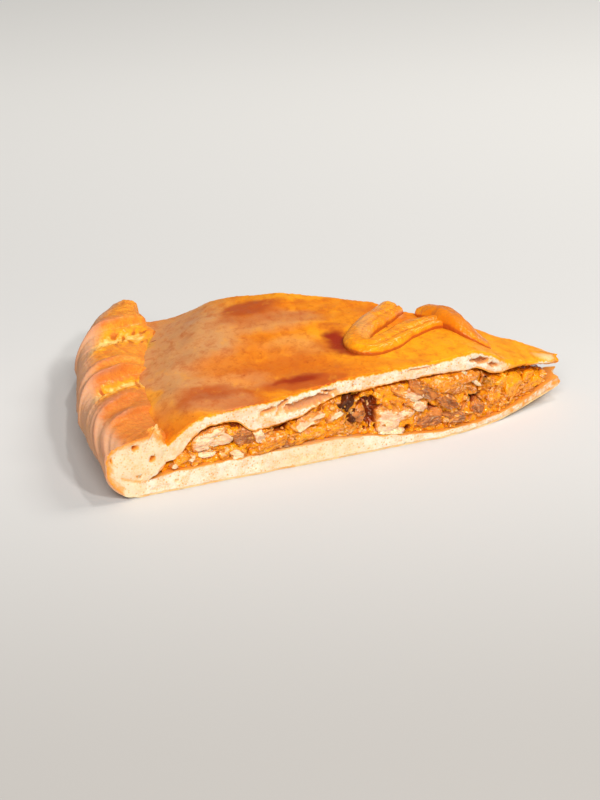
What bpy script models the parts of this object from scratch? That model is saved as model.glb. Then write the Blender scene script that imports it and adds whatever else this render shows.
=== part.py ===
"""A slice cut from a round, flat meat pie with a roped edge.

The slice is laid out about the centre of its pie. It points along +X towards that centre, its
roped rim is at -X, one cut faces -Y (the front cut) and the other +Y (the back cut). Heights
start at the underside of the base. In the end an empty carries all pieces so that the middle of
the slice's underside lies at the world's origin.

Radii are nominal: they are those of the front cut, and the rim draws in a little behind it.
"""

import math
import random
from collections import namedtuple

import bmesh
import bpy
from mathutils import Euler, Vector, noise

MM = 0.001

# The slice in plan.
SLICE_ANGLE = math.radians(42.0)
ROPE_RADIUS = 153.4            # mm, the centre line of the roped edge
TIP_RADIUS = 12.0              # mm, where the point is broken off
RIM_PULL = 4.4                 # mm, how far the rim draws in behind the front cut
RIM_PULL_SPAN = (60.0, 150.0)  # mm, the radii over which it does
TIP_SWERVE = 13.0              # mm, how far the soft point bends towards the back cut
TIP_SWERVE_START = 56.0        # mm

# Heights in mm over radii in mm, from the point out to the rim.
BASE_TOP = ((10, 7.6), (16, 6.9), (25, 4.2), (32, 3.0), (40, 2.3), (52, 2.2), (65, 3.1),
            (78, 4.8), (91, 6.2), (122, 6.1), (144, 5.8), (149, 4.5), (153, 4.5), (158, 6.2),
            (163, 8.8))
BASE_UNDER = ((10, 5.4), (16, 3.6), (25, 1.7), (32, 0.7), (40, 0.0), (163, 0.0))
LID_TOP_FRONT = ((10, 13.0), (24, 16.2), (33, 18.4), (40, 22.6), (47, 25.2), (58, 24.6),
                 (88, 24.4), (104, 22.3), (124, 21.4), (133, 20.6), (138, 18.6), (146, 13.6))
LID_TOP_BACK = ((10, 10.8), (21, 15.2), (34, 18.2), (41, 20.8), (48, 23.4), (62, 24.2),
                (73, 26.4), (99, 26.4), (113, 24.4), (125, 21.6), (132, 17.8), (139, 14.4),
                (146, 12.4))
LID_UNDER_FRONT = ((10, 10.4), (28, 14.6), (38, 15.8), (45, 19.4), (63, 20.3), (82, 19.6),
                   (92, 19.0), (103, 15.2), (113, 13.6), (118, 13.4), (123, 17.0), (131, 17.4),
                   (136, 15.0), (141, 10.2), (146, 8.6))
LID_UNDER_BACK = ((10, 8.6), (34, 14.4), (48, 19.4), (62, 20.2), (73, 22.2), (99, 22.2),
                  (113, 20.2), (125, 17.4), (132, 13.8), (139, 10.4), (146, 8.6))
LID_CROWN = 0.5                # mm, how much the lid rises between the cuts

# The roped edge: a fat roll whose dough is folded over and over itself.
ROPE_HALF_WIDTH = (9.0, 7.6)   # mm, at the front cut and at the back cut
ROPE_HALF_HEIGHT = 6.2         # mm
ROPE_HEIGHT = 11.2             # mm, its centre line
ROPE_RISE = 1.0                # mm, how much fatter it is at the back cut
ROPE_SQUARENESS = 2.5          # exponent of its section, 2 is an ellipse
FOLD_STEEP = 0.7               # degrees, the width of a crest's sharp side
FOLD_CURVE = 1.35              # exponent of the way that a crest sweeps forward
FOLD_FULLNESS = 0.55           # mm that the skin stands out between the folds

# Its folds: the angle where each starts beside the lid and how far it sweeps forward on its way
# over to the outside, the height of its crest and how far that fades out behind it, the depth of
# the hollow before it and how far that reaches, in degrees and mm.
Fold = namedtuple("Fold", "start sweep height breadth depth reach")
FOLDS = (Fold(35.0, 15.0, 0.7, 3.0, 0.5, 4.0), Fold(19.4, 14.0, 1.1, 2.2, 2.2, 7.5),
         Fold(2.2, 12.0, 1.3, 1.6, 2.6, 5.5), Fold(-5.6, 14.0, 1.0, 1.7, 1.1, 4.0),
         Fold(-10.4, 12.8, 1.4, 1.9, 1.3, 6.0))

# The dough strips on the lid: their routes in the pie's plan, mm.
HAIRPIN_ROUTE = ((-60.2, 23.4), (-65.6, 13.6), (-69.2, 7.0), (-72.6, 1.6), (-75.2, -3.4),
                 (-76.4, -8.0), (-75.6, -11.8), (-73.0, -13.0), (-69.8, -10.8), (-66.0, -6.6),
                 (-61.4, -0.4), (-57.0, 4.2), (-52.6, 7.4))
TWIST_ROUTE = ((-53.6, 21.0), (-50.2, 18.4), (-47.0, 14.8), (-45.0, 10.4), (-43.0, 6.8),
               (-40.6, 4.6), (-38.0, 3.8), (-35.4, 4.6))
# Their half widths and heights in mm over the share of the way.
HAIRPIN_HALF_WIDTH = ((0.0, 3.7), (0.3, 3.9), (0.5, 4.1), (1.0, 3.6))
HAIRPIN_HEIGHT = ((0.0, 2.2), (0.4, 2.4), (1.0, 2.4))
TWIST_HALF_WIDTH = ((0.0, 1.8), (0.14, 4.2), (0.4, 5.0), (0.65, 4.6), (0.85, 3.8), (1.0, 2.8))
TWIST_HEIGHT = ((0.0, 1.2), (0.14, 2.8), (0.45, 4.2), (0.68, 3.2), (0.88, 1.6), (1.0, 1.2))
STRIP_CREASE = 0.14            # share of its height that its lengthwise crease takes

# The filling.
FILLING_RADII = (20.0, 140.5)  # mm
FILLING_RECESS = 2.2           # mm from each cut back to the core
FILLING_HEADROOM = 1.6         # mm from the lid down to the core along the cuts
CHUNK_PROUD = 0.7              # mm that chunks stand out of the cuts
TIP_HEADROOM = 1.2             # mm more, where the lid's point lifts clear

# Chunks that show in the front cut: radius, height, half length, half height, mm, and turn.
FRONT_CHUNKS = (
    (139.0, 8.0, 2.0, 1.5, 0), (131.0, 12.6, 4.6, 3.3, 8), (131.5, 8.2, 4.4, 1.6, 4),
    (121.0, 11.2, 4.8, 3.9, -20), (113.8, 10.4, 3.4, 3.0, 15), (106.0, 9.0, 3.8, 2.4, 0),
    (99.5, 11.6, 5.2, 2.6, 10), (93.0, 8.8, 4.0, 2.4, -10), (86.6, 14.0, 3.0, 4.6, 18),
    (78.5, 9.0, 3.4, 3.6, 0), (69.8, 11.6, 8.0, 6.6, -6), (58.0, 14.2, 7.0, 3.4, 28),
    (50.5, 15.4, 7.0, 3.6, 16), (55.5, 6.2, 7.0, 3.4, 6), (45.5, 9.6, 4.0, 3.4, 30),
    (38.5, 8.6, 3.6, 4.0, 0), (29.8, 9.0, 4.6, 3.8, 12), (22.6, 8.2, 3.0, 2.8, -14))
BACK_CHUNK_STEP = (7.0, 10.5)  # mm from one chunk of the back cut to the next
CHUNK_DEPTH = 4.2              # mm, half of what a chunk reaches into the slice
CHUNK_SEED = 11

# The split in the lid's thick front edge: radius, height, half sizes, mm.
SPLIT_PLACE = (41.5, 20.4)
SPLIT_HALF_SIZE = (3.6, 2.6, 1.3)

SEAT_GAP = 0.6                 # mm between pieces whose facets follow a shared curved face
JOINT_GAP = 0.35               # mm between flat meeting faces

SLICE_NAME = "meat_pie_slice"


# ---------------------------------------------------------------- curves and places

def smoothstep(value):
    """Ease from 0 to 1 as the value goes from 0 to 1."""
    value = min(max(value, 0.0), 1.0)
    return value * value * (3.0 - 2.0 * value)


def blend(first, second, share):
    """The value that lies at the share of the way from first to second."""
    return first + (second - first) * share


def slope_at(profile, index):
    """The slope of a profile at one of its points, flat where it turns, so it can't overshoot."""
    if index == 0 or index == len(profile) - 1:
        near = min(max(index, 1), len(profile) - 1)
        (x0, y0), (x1, y1) = profile[near - 1], profile[near]
        return (y1 - y0) / (x1 - x0)
    (x0, y0), (x1, y1), (x2, y2) = profile[index - 1:index + 2]
    before = (y1 - y0) / (x1 - x0)
    after = (y2 - y1) / (x2 - x1)
    if before * after <= 0.0:
        return 0.0
    return 2.0 * before * after / (before + after)


def along(profile, radius):
    """The height of a profile at a radius, on a smooth curve through its points."""
    radius = min(max(radius, profile[0][0]), profile[-1][0])
    index = 0
    while index < len(profile) - 2 and radius > profile[index + 1][0]:
        index += 1
    (x0, y0), (x1, y1) = profile[index], profile[index + 1]
    span = x1 - x0
    share = (radius - x0) / span
    pull = share * share * (3.0 - 2.0 * share)
    start = share * (1.0 - share) ** 2
    end = share * share * (share - 1.0)
    return blend(y0, y1, pull) + span * (start * slope_at(profile, index)
                                         + end * slope_at(profile, index + 1))


def rim_pull(radius, side):
    """How far the slice draws in at a nominal radius, from 0 at the front cut, in mm."""
    start, end = RIM_PULL_SPAN
    return RIM_PULL * smoothstep(side / 0.5) * smoothstep((radius - start) / (end - start))


def swerve(radius):
    """How far the slice bends towards its back cut at a radius, in mm."""
    return TIP_SWERVE * smoothstep(1.0 - radius / TIP_SWERVE_START)


def pie_point(radius, side, height):
    """A point of the slice, in metres: side is 0 at the front cut and 1 at the back cut."""
    real = radius - rim_pull(radius, side)
    angle = (side - 0.5) * SLICE_ANGLE
    return Vector((-real * math.cos(angle), real * math.sin(angle) + swerve(radius), height)) * MM


def rope_half_width(side):
    """Half the rope's width, in mm."""
    return blend(*ROPE_HALF_WIDTH, side)


def pie_place(point):
    """The nominal radius in mm and the side of a point given in metres."""
    across, deep = -point.x / MM, point.y / MM
    radius = math.hypot(across, deep)
    side = 0.5
    for _ in range(6):
        straight = deep - swerve(radius)
        side = math.atan2(straight, across) / SLICE_ANGLE + 0.5
        radius = math.hypot(across, straight) + rim_pull(radius, side)
    return radius, side


def lid_top(radius, side):
    """The lid's upper face, in mm."""
    crown = LID_CROWN * math.sin(math.pi * min(max(side, 0.0), 1.0))
    return blend(along(LID_TOP_FRONT, radius), along(LID_TOP_BACK, radius),
                 smoothstep(side)) + crown


def lid_under(radius, side):
    """The lid's lower face, in mm."""
    return blend(along(LID_UNDER_FRONT, radius), along(LID_UNDER_BACK, radius), smoothstep(side))


def filling_room(radius, side):
    """The lowest and highest that filling may reach between base and lid, in mm."""
    lift = TIP_HEADROOM * smoothstep((34.0 - radius) / 8.0)
    return along(BASE_TOP, radius) + SEAT_GAP, lid_under(radius, side) - SEAT_GAP - lift


def route_point(route, share):
    """The point at a share of the way along a smooth route through its points, in mm."""
    place = share * (len(route) - 1)
    index = min(int(place), len(route) - 2)
    share = place - index
    before = Vector(route[max(index - 1, 0)])
    start, end = Vector(route[index]), Vector(route[index + 1])
    after = Vector(route[min(index + 2, len(route) - 1)])
    return 0.5 * (2.0 * start + (end - before) * share
                  + (2.0 * before - 5.0 * start + 4.0 * end - after) * share ** 2
                  + (3.0 * start - before - 3.0 * end + after) * share ** 3)


# ---------------------------------------------------------------- shapes and objects

def make_material(name, color, roughness):
    """A plain finish."""
    material = bpy.data.materials.new(name)
    material.use_nodes = True
    shader = material.node_tree.nodes["Principled BSDF"]
    shader.inputs["Base Color"].default_value = (*color, 1.0)
    shader.inputs["Roughness"].default_value = roughness
    shader.inputs["Metallic"].default_value = 0.0
    return material


def make_object(name, shape, material, collection):
    """Turn a bmesh into a smoothly shaded object of a collection, its faces pointing out."""
    bmesh.ops.recalc_face_normals(shape, faces=shape.faces)
    if shape.calc_volume(signed=True) < 0.0:
        bmesh.ops.reverse_faces(shape, faces=shape.faces)
    mesh = bpy.data.meshes.new(name)
    shape.to_mesh(mesh)
    shape.free()
    mesh.materials.append(material)
    mesh.shade_smooth()
    mesh.set_sharp_from_angle(angle=math.radians(50.0))
    piece = bpy.data.objects.new(name, mesh)
    collection.objects.link(piece)
    return piece


def stack_up(shape, faces, layers):
    """Extrude a flat patch upwards, one unit a layer."""
    for _ in range(layers):
        edges = list({edge for face in faces for edge in face.edges})
        grown = bmesh.ops.extrude_face_region(shape, geom=faces + edges)["geom"]
        corners = [item for item in grown if isinstance(item, bmesh.types.BMVert)]
        faces = [item for item in grown if isinstance(item, bmesh.types.BMFace)]
        bmesh.ops.translate(shape, verts=corners, vec=(0.0, 0.0, 1.0))


def slab(rows, columns, layers, place):
    """A block of rows, columns and layers whose points go to place(u, v, w), each 0 to 1."""
    shape = bmesh.new()
    bmesh.ops.create_grid(shape, x_segments=rows, y_segments=columns, size=0.5)
    stack_up(shape, shape.faces[:], layers)
    for corner in shape.verts:
        corner.co = place(corner.co.x + 0.5, corner.co.y + 0.5, corner.co.z / layers)
    return shape


def roll(around, steps, place):
    """A capped tube whose points go to place(angle, share of its length)."""
    shape = bmesh.new()
    bmesh.ops.create_circle(shape, cap_ends=True, segments=around, radius=1.0)
    stack_up(shape, shape.faces[:], steps)
    for corner in shape.verts:
        corner.co = place(math.atan2(corner.co.y, corner.co.x), corner.co.z / steps)
    return shape


# ---------------------------------------------------------------- crusts

def base_place(u, v, w):
    """The base: its outer wall is round, from the underside up to the lip under the rope."""
    lip = ROPE_RADIUS + rope_half_width(v)
    outer = blend(ROPE_RADIUS, lip, math.sin(w * math.pi / 2.0) ** 0.8)
    radius = blend(TIP_RADIUS, outer, u)
    height = blend(along(BASE_UNDER, radius), along(BASE_TOP, radius), w)
    return pie_point(radius, v, height)


def lid_place(u, v, w):
    """The lid: its outer edge meets the inner flank of the rope."""
    inner_flank = ROPE_RADIUS - rope_half_width(v) - JOINT_GAP
    radius = blend(TIP_RADIUS, inner_flank, u)
    return pie_point(radius, v, blend(lid_under(radius, v), lid_top(radius, v), w))


def fold_relief(angle, outward):
    """How far the rope's skin stands out at an angle in degrees, in mm.

    Outward runs from 0 in the valley beside the lid over the top to 1 on the outer flank.
    """
    relief = FOLD_FULLNESS
    flank = smoothstep((outward - 0.45) / 0.45)
    for fold in FOLDS:
        behind = angle - fold.start + fold.sweep * outward ** FOLD_CURVE
        width = fold.breadth if behind > 0.0 else FOLD_STEEP
        relief += math.exp(-(behind / width) ** 2) * fold.height * (1.0 - 0.5 * flank)
        ahead = behind + 2.6 * FOLD_STEEP
        width = 1.6 * FOLD_STEEP if ahead > 0.0 else fold.reach
        relief -= math.exp(-(ahead / width) ** 2) * fold.depth * (1.0 - 0.85 * flank)
    return relief


def rope_place(angle, share):
    """The rope: a flattened roll, its folds on what shows, seated in the base's raised edge."""
    across = math.copysign(abs(math.cos(angle)) ** (2.0 / ROPE_SQUARENESS), math.cos(angle))
    up = math.copysign(abs(math.sin(angle)) ** (2.0 / ROPE_SQUARENESS), math.sin(angle))
    outward = min(max(1.0 - angle / math.pi, 0.0), 1.0)
    showing = smoothstep((math.sin(angle) + 0.35) / 0.6) * smoothstep(outward / 0.12)
    turn = math.degrees((share - 0.5) * SLICE_ANGLE)
    relief = fold_relief(turn, outward) * showing
    half_width = rope_half_width(share)
    radius = ROPE_RADIUS + across * (half_width + max(relief, 0.0) * 0.25)
    height = ROPE_HEIGHT + up * (ROPE_HALF_HEIGHT + ROPE_RISE * share + relief)
    radius = min(radius + relief * 0.5 * max(across, 0.0), ROPE_RADIUS + half_width + 1.4)
    height = max(height, along(BASE_TOP, min(radius, 163.0)) + SEAT_GAP)
    return pie_point(radius, share, height)


def cut_split(lid, collection):
    """Open the split in the thick part of the lid's front edge."""
    shape = bmesh.new()
    bmesh.ops.create_icosphere(shape, subdivisions=2, radius=1.0)
    radius, height = SPLIT_PLACE
    centre = pie_point(radius, 0.0, height)
    for corner in shape.verts:
        size = Vector(SPLIT_HALF_SIZE) * MM
        corner.co = centre + Vector((corner.co.x * size.x, corner.co.y * size.y,
                                     corner.co.z * size.z))
    cutter = make_object("lid_split", shape, lid.data.materials[0], collection)
    cutter.hide_render = True
    cutter.display_type = "WIRE"
    cut = lid.modifiers.new("split", "BOOLEAN")
    cut.operation = "DIFFERENCE"
    cut.solver = "EXACT"
    cut.object = cutter


# ---------------------------------------------------------------- dough strips

def strip_shape(route, half_widths, heights, steps):
    """A strip of dough laid on the lid along a route, creased along its middle."""
    def place(angle, share):
        taper = smoothstep(min(share, 1.0 - share) / 0.06 + 0.45)
        spot = route_point(route, share)
        ahead = route_point(route, min(share + 0.01, 1.0))
        behind = route_point(route, max(share - 0.01, 0.0))
        forward = (ahead - behind).normalized()
        sideways = Vector((-forward.y, forward.x))
        reach = math.cos(angle) * along(half_widths, share) * taper
        flat = spot + sideways * reach
        crest = max(math.sin(angle), 0.0) ** 0.7
        crease = STRIP_CREASE * math.exp(-(math.cos(angle) / 0.3) ** 2)
        point = Vector((flat.x, flat.y, 0.0)) * MM
        radius, side = pie_place(point)
        side = min(side, 1.0)
        seat = lid_top(radius, side) + SEAT_GAP
        height = along(heights, share)
        return pie_point(radius, side, seat + crest * (1.0 - crease) * height * taper)
    return roll(12, steps, place)


# ---------------------------------------------------------------- filling

def keep_in_room(point, proud):
    """Move a point of the filling to where base, lid, rim and cuts leave room for it."""
    radius, side = pie_place(point)
    radius = min(max(radius, FILLING_RADII[0] - 2.0), FILLING_RADII[1])
    margin = proud / (radius * SLICE_ANGLE)
    side = min(max(side, -margin), 1.0 + margin)
    low, high = filling_room(radius, side)
    return pie_point(radius, side, min(max(point.z / MM, low), high))


def core_place(u, v, w):
    """The sauce that holds the chunks, drawn back from the cuts and the lid."""
    radius = blend(*FILLING_RADII, u)
    inset = FILLING_RECESS / (radius * SLICE_ANGLE)
    side = blend(inset, 1.0 - inset, v)
    low, high = filling_room(radius, side)
    headroom = FILLING_HEADROOM * (1.0 - math.sin(math.pi * v))
    return pie_point(radius, side, blend(low, max(high - headroom, low + 1.0), w))


def chunk_shape(radius, side, height, half_size, turn, seed):
    """One rough chunk, with its flat face in the cut."""
    shape = bmesh.new()
    bmesh.ops.create_icosphere(shape, subdivisions=2, radius=1.0)
    centre = pie_point(radius, side, height)
    turned = Euler((0.0, math.radians(turn), 0.0)).to_matrix()
    for corner in shape.verts:
        rough = noise.noise(corner.co * 1.3 + Vector((seed * 3.7, seed * 1.3, seed * 0.7)))
        boxy = corner.co / max(abs(corner.co.x), abs(corner.co.y), abs(corner.co.z))
        spot = corner.co.lerp(boxy, 0.35) * (1.0 + 0.35 * rough)
        spot = Vector((spot.x * half_size[0], spot.y * half_size[1], spot.z * half_size[2]))
        corner.co = keep_in_room(centre + turned @ (spot * MM), CHUNK_PROUD)
    return shape


def chunk_side(radius, back):
    """The side at which a chunk's middle lies so that it reaches its cut."""
    depth = CHUNK_DEPTH / (radius * SLICE_ANGLE)
    return 1.0 - depth * 0.8 if back else depth * 0.8


def add_chunks(material, collection):
    """Fill a collection with the chunks of both cuts."""
    dice = random.Random(CHUNK_SEED)
    chunks = [(radius, 0, height, length, tall, turn)
              for radius, height, length, tall, turn in FRONT_CHUNKS]
    radius = 133.0
    while radius > 24.0:
        low, high = filling_room(radius, 1.0)
        tall = (high - low) * dice.uniform(0.30, 0.46)
        height = dice.uniform(low + tall * 0.8, high - tall * 0.8)
        length = dice.uniform(3.6, 6.4)
        chunks.append((radius, 1, height, length, tall, dice.uniform(-25.0, 25.0)))
        radius -= dice.uniform(*BACK_CHUNK_STEP)
    for index, (radius, back, height, length, tall, turn) in enumerate(chunks):
        half_size = (length, CHUNK_DEPTH, tall)
        shape = chunk_shape(radius, chunk_side(radius, back), height, half_size, turn, index)
        make_object(f"chunk_{index:02d}", shape, material, collection)


def make_filling(material, collection):
    """Fuse the chunks to the core and keep one solid."""
    core = make_object("filling", slab(26, 7, 2, core_place), material, collection)
    heap = bpy.data.collections.new("filling_chunks")
    bpy.context.scene.collection.children.link(heap)
    add_chunks(material, heap)
    join = core.modifiers.new("chunks", "BOOLEAN")
    join.operation = "UNION"
    join.operand_type = "COLLECTION"
    join.collection = heap
    join.solver = "EXACT"
    bpy.context.view_layer.update()
    graph = bpy.context.evaluated_depsgraph_get()
    fused = bpy.data.meshes.new_from_object(core.evaluated_get(graph))
    core.modifiers.clear()
    core.data = fused
    for chunk in list(heap.objects):
        bpy.data.objects.remove(chunk)
    bpy.data.collections.remove(heap)
    return core


# ---------------------------------------------------------------- the slice

def stand_on_origin(pieces):
    """Carry the pieces on an empty so that their box stands on the origin."""
    corners = [corner.co for piece in pieces for corner in piece.data.vertices]
    low = [min(corner[axis] for corner in corners) for axis in range(3)]
    high = [max(corner[axis] for corner in corners) for axis in range(3)]
    carrier = bpy.data.objects.new("slice_centre", None)
    bpy.context.scene.collection.objects.link(carrier)
    carrier.location = (-(low[0] + high[0]) / 2.0, -(low[1] + high[1]) / 2.0, -low[2])
    for piece in pieces:
        piece.parent = carrier


def main():
    for leftover in list(bpy.data.objects):
        bpy.data.objects.remove(leftover)
    slice_parts = bpy.data.collections.new(SLICE_NAME)
    cutters = bpy.data.collections.new("cutters")
    bpy.context.scene.collection.children.link(slice_parts)
    bpy.context.scene.collection.children.link(cutters)

    crumb = make_material("pale_crumb", (0.80, 0.62, 0.38), 0.7)
    golden = make_material("golden_lid", (0.78, 0.31, 0.05), 0.35)
    browned = make_material("browned_rope", (0.66, 0.27, 0.06), 0.4)
    glazed = make_material("glazed_strip", (0.80, 0.36, 0.06), 0.3)
    saucy = make_material("saucy_filling", (0.50, 0.20, 0.06), 0.35)

    base = make_object("base_crust", slab(38, 10, 3, base_place), crumb, slice_parts)
    lid = make_object("lid_crust", slab(36, 16, 1, lid_place), golden, slice_parts)
    cut_split(lid, cutters)
    rope = make_object("rope_rim", roll(20, 60, rope_place), browned, slice_parts)
    hairpin = make_object(
        "strip_hairpin", strip_shape(HAIRPIN_ROUTE, HAIRPIN_HALF_WIDTH, HAIRPIN_HEIGHT, 34),
        glazed, slice_parts)
    twist = make_object(
        "strip_twist", strip_shape(TWIST_ROUTE, TWIST_HALF_WIDTH, TWIST_HEIGHT, 24),
        glazed, slice_parts)
    filling = make_filling(saucy, slice_parts)
    stand_on_origin([base, lid, rope, hairpin, twist, filling])
    for cutter in cutters.objects:
        cutter.parent = base.parent


main()
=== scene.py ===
"""The looks of a slice of meat pie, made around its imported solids.

It is laid out as a Blender add-on: a panel in the sidebar lists one operator for each piece.
Lengths are in mm and angles in degrees where a value says nothing else, and places are given in
the pie's own terms: a radius from the pie's centre, a side that is 0 at the front cut and 1 at
the back cut, and a height above the underside.
"""

import math
import random
from collections import namedtuple

import bmesh
import bpy
from bpy.props import FloatProperty, FloatVectorProperty, IntProperty, PointerProperty
from mathutils import Matrix, Vector, noise


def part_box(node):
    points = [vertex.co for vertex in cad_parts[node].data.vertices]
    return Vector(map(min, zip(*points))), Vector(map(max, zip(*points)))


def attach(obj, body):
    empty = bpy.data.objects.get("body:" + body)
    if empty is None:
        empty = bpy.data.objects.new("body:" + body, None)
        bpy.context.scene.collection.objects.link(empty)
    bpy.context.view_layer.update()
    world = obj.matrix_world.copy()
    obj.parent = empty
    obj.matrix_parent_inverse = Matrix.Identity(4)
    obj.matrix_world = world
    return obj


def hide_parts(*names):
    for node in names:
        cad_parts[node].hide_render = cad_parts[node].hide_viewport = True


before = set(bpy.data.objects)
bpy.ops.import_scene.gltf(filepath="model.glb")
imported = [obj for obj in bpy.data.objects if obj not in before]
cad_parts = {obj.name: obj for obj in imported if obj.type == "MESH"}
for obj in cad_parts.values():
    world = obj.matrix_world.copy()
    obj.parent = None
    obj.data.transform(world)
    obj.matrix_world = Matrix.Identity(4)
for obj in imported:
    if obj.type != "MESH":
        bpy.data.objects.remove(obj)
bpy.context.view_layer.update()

bl_info = {
    "name": "Meat Pie Slice",
    "version": (1, 0, 0),
    "blender": (4, 5, 0),
    "location": "View3D > Sidebar > Pie Slice",
    "description": "Dresses a slice of pie with crust, crumb, filling and glaze",
    "category": "Object",
}

MM = 0.001
# A share of a block this near to 0 or 1 lies on its end.
END = 1e-4
# Faces that meet at more than this angle keep a sharp edge.
SHARP_ANGLE = math.radians(62.0)
# How far one seed moves a material's pattern along X, Y and Z.
SEED_SHIFT = (7.1, 3.3, 5.7)
# Rows crowd together this strongly at the cuts, and at the upper and lower faces.
CUT_CROWDING = 0.75
FACE_CROWDING = 0.4
# The crust rounds off over this distance behind a cut.
CUT_BLEND = 7.0
# The cells of each block: along the slice, across it and up it.
BASE_CELLS = (300, 44, 16)
LID_CELLS = (320, 104, 18)
SAUCE_CELLS = (300, 26, 30)
# The cells of each roll: twice across it and then along it.
ROPE_CELLS = (44, 44, 420)
HAIRPIN_CELLS = (14, 14, 300)
TWIST_CELLS = (14, 14, 180)

# The slice's form, as its solids have it: its angle, how far the rope's middle, the point and the
# base's lip lie from the pie's centre, how far the rim draws in and over which radii, and how far
# the point bends towards the back cut and from which radius inwards.
SLICE_ANGLE = math.radians(42.0)
ROPE_RADIUS = 153.4
TIP_RADIUS = 12.0
LIP_RADIUS = 162.4
RIM_PULL = 4.4
RIM_PULL_SPAN = (60.0, 150.0)
TIP_SWERVE = 13.0
TIP_SWERVE_START = 56.0

# Heights over radii.
BASE_TOP = ((10, 7.6), (16, 6.9), (25, 4.2), (32, 3.0), (40, 2.3), (52, 2.2), (65, 3.1),
            (78, 4.8), (91, 6.2), (122, 6.1), (144, 5.8), (149, 4.5), (153, 4.5), (158, 6.2),
            (163, 8.8))
BASE_UNDER = ((10, 5.4), (16, 3.6), (25, 1.7), (32, 0.7), (40, 0.0), (163, 0.0))
LID_TOP_FRONT = ((10, 13.0), (24, 16.2), (33, 18.4), (40, 22.6), (47, 25.2), (58, 24.6),
                 (88, 24.4), (104, 22.3), (124, 21.4), (133, 20.6), (138, 18.6), (146, 13.6))
LID_TOP_BACK = ((10, 10.8), (21, 15.2), (34, 18.2), (41, 20.8), (48, 23.4), (62, 24.2),
                (73, 26.4), (99, 26.4), (113, 24.4), (125, 21.6), (132, 17.8), (139, 14.4),
                (146, 12.4))
LID_UNDER_FRONT = ((10, 10.4), (28, 14.6), (38, 15.8), (45, 19.4), (63, 20.3), (82, 19.6),
                   (92, 19.0), (103, 15.2), (113, 13.6), (118, 13.4), (123, 17.0), (131, 17.4),
                   (136, 15.0), (141, 10.2), (146, 8.6))
LID_UNDER_BACK = ((10, 8.6), (34, 14.4), (48, 19.4), (62, 20.2), (73, 22.2), (99, 22.2),
                  (113, 20.2), (125, 17.4), (132, 13.8), (139, 10.4), (146, 8.6))
LID_CROWN = 0.5

# The roped edge: half its width at the front and at the back cut, its heights, how square its
# section is, how it lifts and draws in underneath, and how it bulges over the lid.
ROPE_HALF_WIDTH = (9.0, 7.6)
ROPE_HALF_HEIGHT = 6.2
ROPE_HEIGHT = 11.2
ROPE_RISE = 1.0
ROPE_SQUARENESS = 2.5
ROPE_FOOT = 0.3
ROPE_LIFT = 1.2
ROPE_UNDERCUT = 0.75
ROPE_BULGE = 5.4
FAR_LOBE = (15.5, 20.5)
FAR_LOBE_DRAW = 4.0
ROPE_ROUNDNESS = 2.05
# Its folds: where each starts beside the lid, how far it sweeps forward on its way over to the
# outside, how high and how broad its crest is, how deep the hollow before it is and how far that
# reaches, how far out the fold begins, and how much egg wash has pooled before it. The pooled wash
# is drawn pale, partly as a painted highlight.
Fold = namedtuple("Fold", "start sweep height breadth depth reach first wash")
FOLDS = (
    Fold(35.0, 15.0, 0.7, 3.0, 0.5, 4.0, 0.0, 0.0),
    Fold(19.4, 14.0, 1.4, 2.2, 3.0, 7.0, 0.0, 0.9),
    Fold(5.4, 12.0, 0.8, 1.0, 0.5, 2.0, 0.0, 0.0),
    Fold(2.2, 12.0, 1.4, 0.9, 3.0, 5.2, 0.0, 0.8),
    Fold(-5.6, 14.0, 1.0, 1.7, 1.3, 4.0, 0.26, 0.1),
    Fold(-10.4, 12.8, 1.4, 1.9, 1.3, 6.0, 0.0, 0.0))
# How the folds' sweep bends, how steep their front faces are, and how far the rope swells
# between them.
FOLD_CURVE = 1.35
FOLD_STEEP = 0.42
FOLD_FULLNESS = 0.55
# The seam under the roll in its cut end: heights over radii.
SEAM = ((142.7, 9.9), (145.1, 7.9), (146.6, 6.7), (147.5, 5.0), (149.4, 4.1), (153.3, 4.8),
        (158.0, 6.4))

# The dough strips' routes in the pie's plan.
HAIRPIN_ROUTE = ((-60.2, 23.4), (-65.6, 13.6), (-69.2, 7.0), (-72.6, 1.6), (-75.2, -3.4),
                 (-76.4, -8.0), (-75.6, -11.8), (-73.0, -13.0), (-69.8, -10.8), (-66.0, -6.6),
                 (-61.4, -0.4), (-57.0, 4.2), (-52.6, 7.4), (-48.0, 9.8))
TWIST_ROUTE = ((-53.6, 21.0), (-50.2, 18.4), (-47.0, 14.8), (-45.0, 10.4), (-43.0, 6.8),
               (-40.6, 4.6), (-38.0, 3.8), (-35.4, 4.6))
# Their half widths and heights over the share of the way.
HAIRPIN_WIDTH = ((0.0, 3.7), (0.3, 3.9), (0.5, 4.1), (1.0, 3.6))
HAIRPIN_HEIGHT = ((0.0, 3.2), (0.4, 3.4), (0.9, 3.6), (1.0, 3.2))
TWIST_WIDTH = ((0.0, 1.6), (0.14, 4.2), (0.4, 5.2), (0.65, 4.8), (0.85, 4.4), (1.0, 3.8))
TWIST_HEIGHT = ((0.0, 2.0), (0.14, 4.2), (0.45, 5.8), (0.68, 4.4), (0.88, 2.6), (1.0, 2.0))
# How deep their creases are, as shares of their heights.
HAIRPIN_GROOVE = 0.13
TWIST_GROOVE = 0.05

# The radii between which the sauce, the back cut's chunks, the grains and the shreds lie.
FILLING_RADII = (17.5, 145.5)
BACK_CHUNK_RADII = (134.0, 24.0)
GRAIN_RADII = (24.0, 139.0)
SHRED_RADII = (21.0, 140.0)

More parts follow.
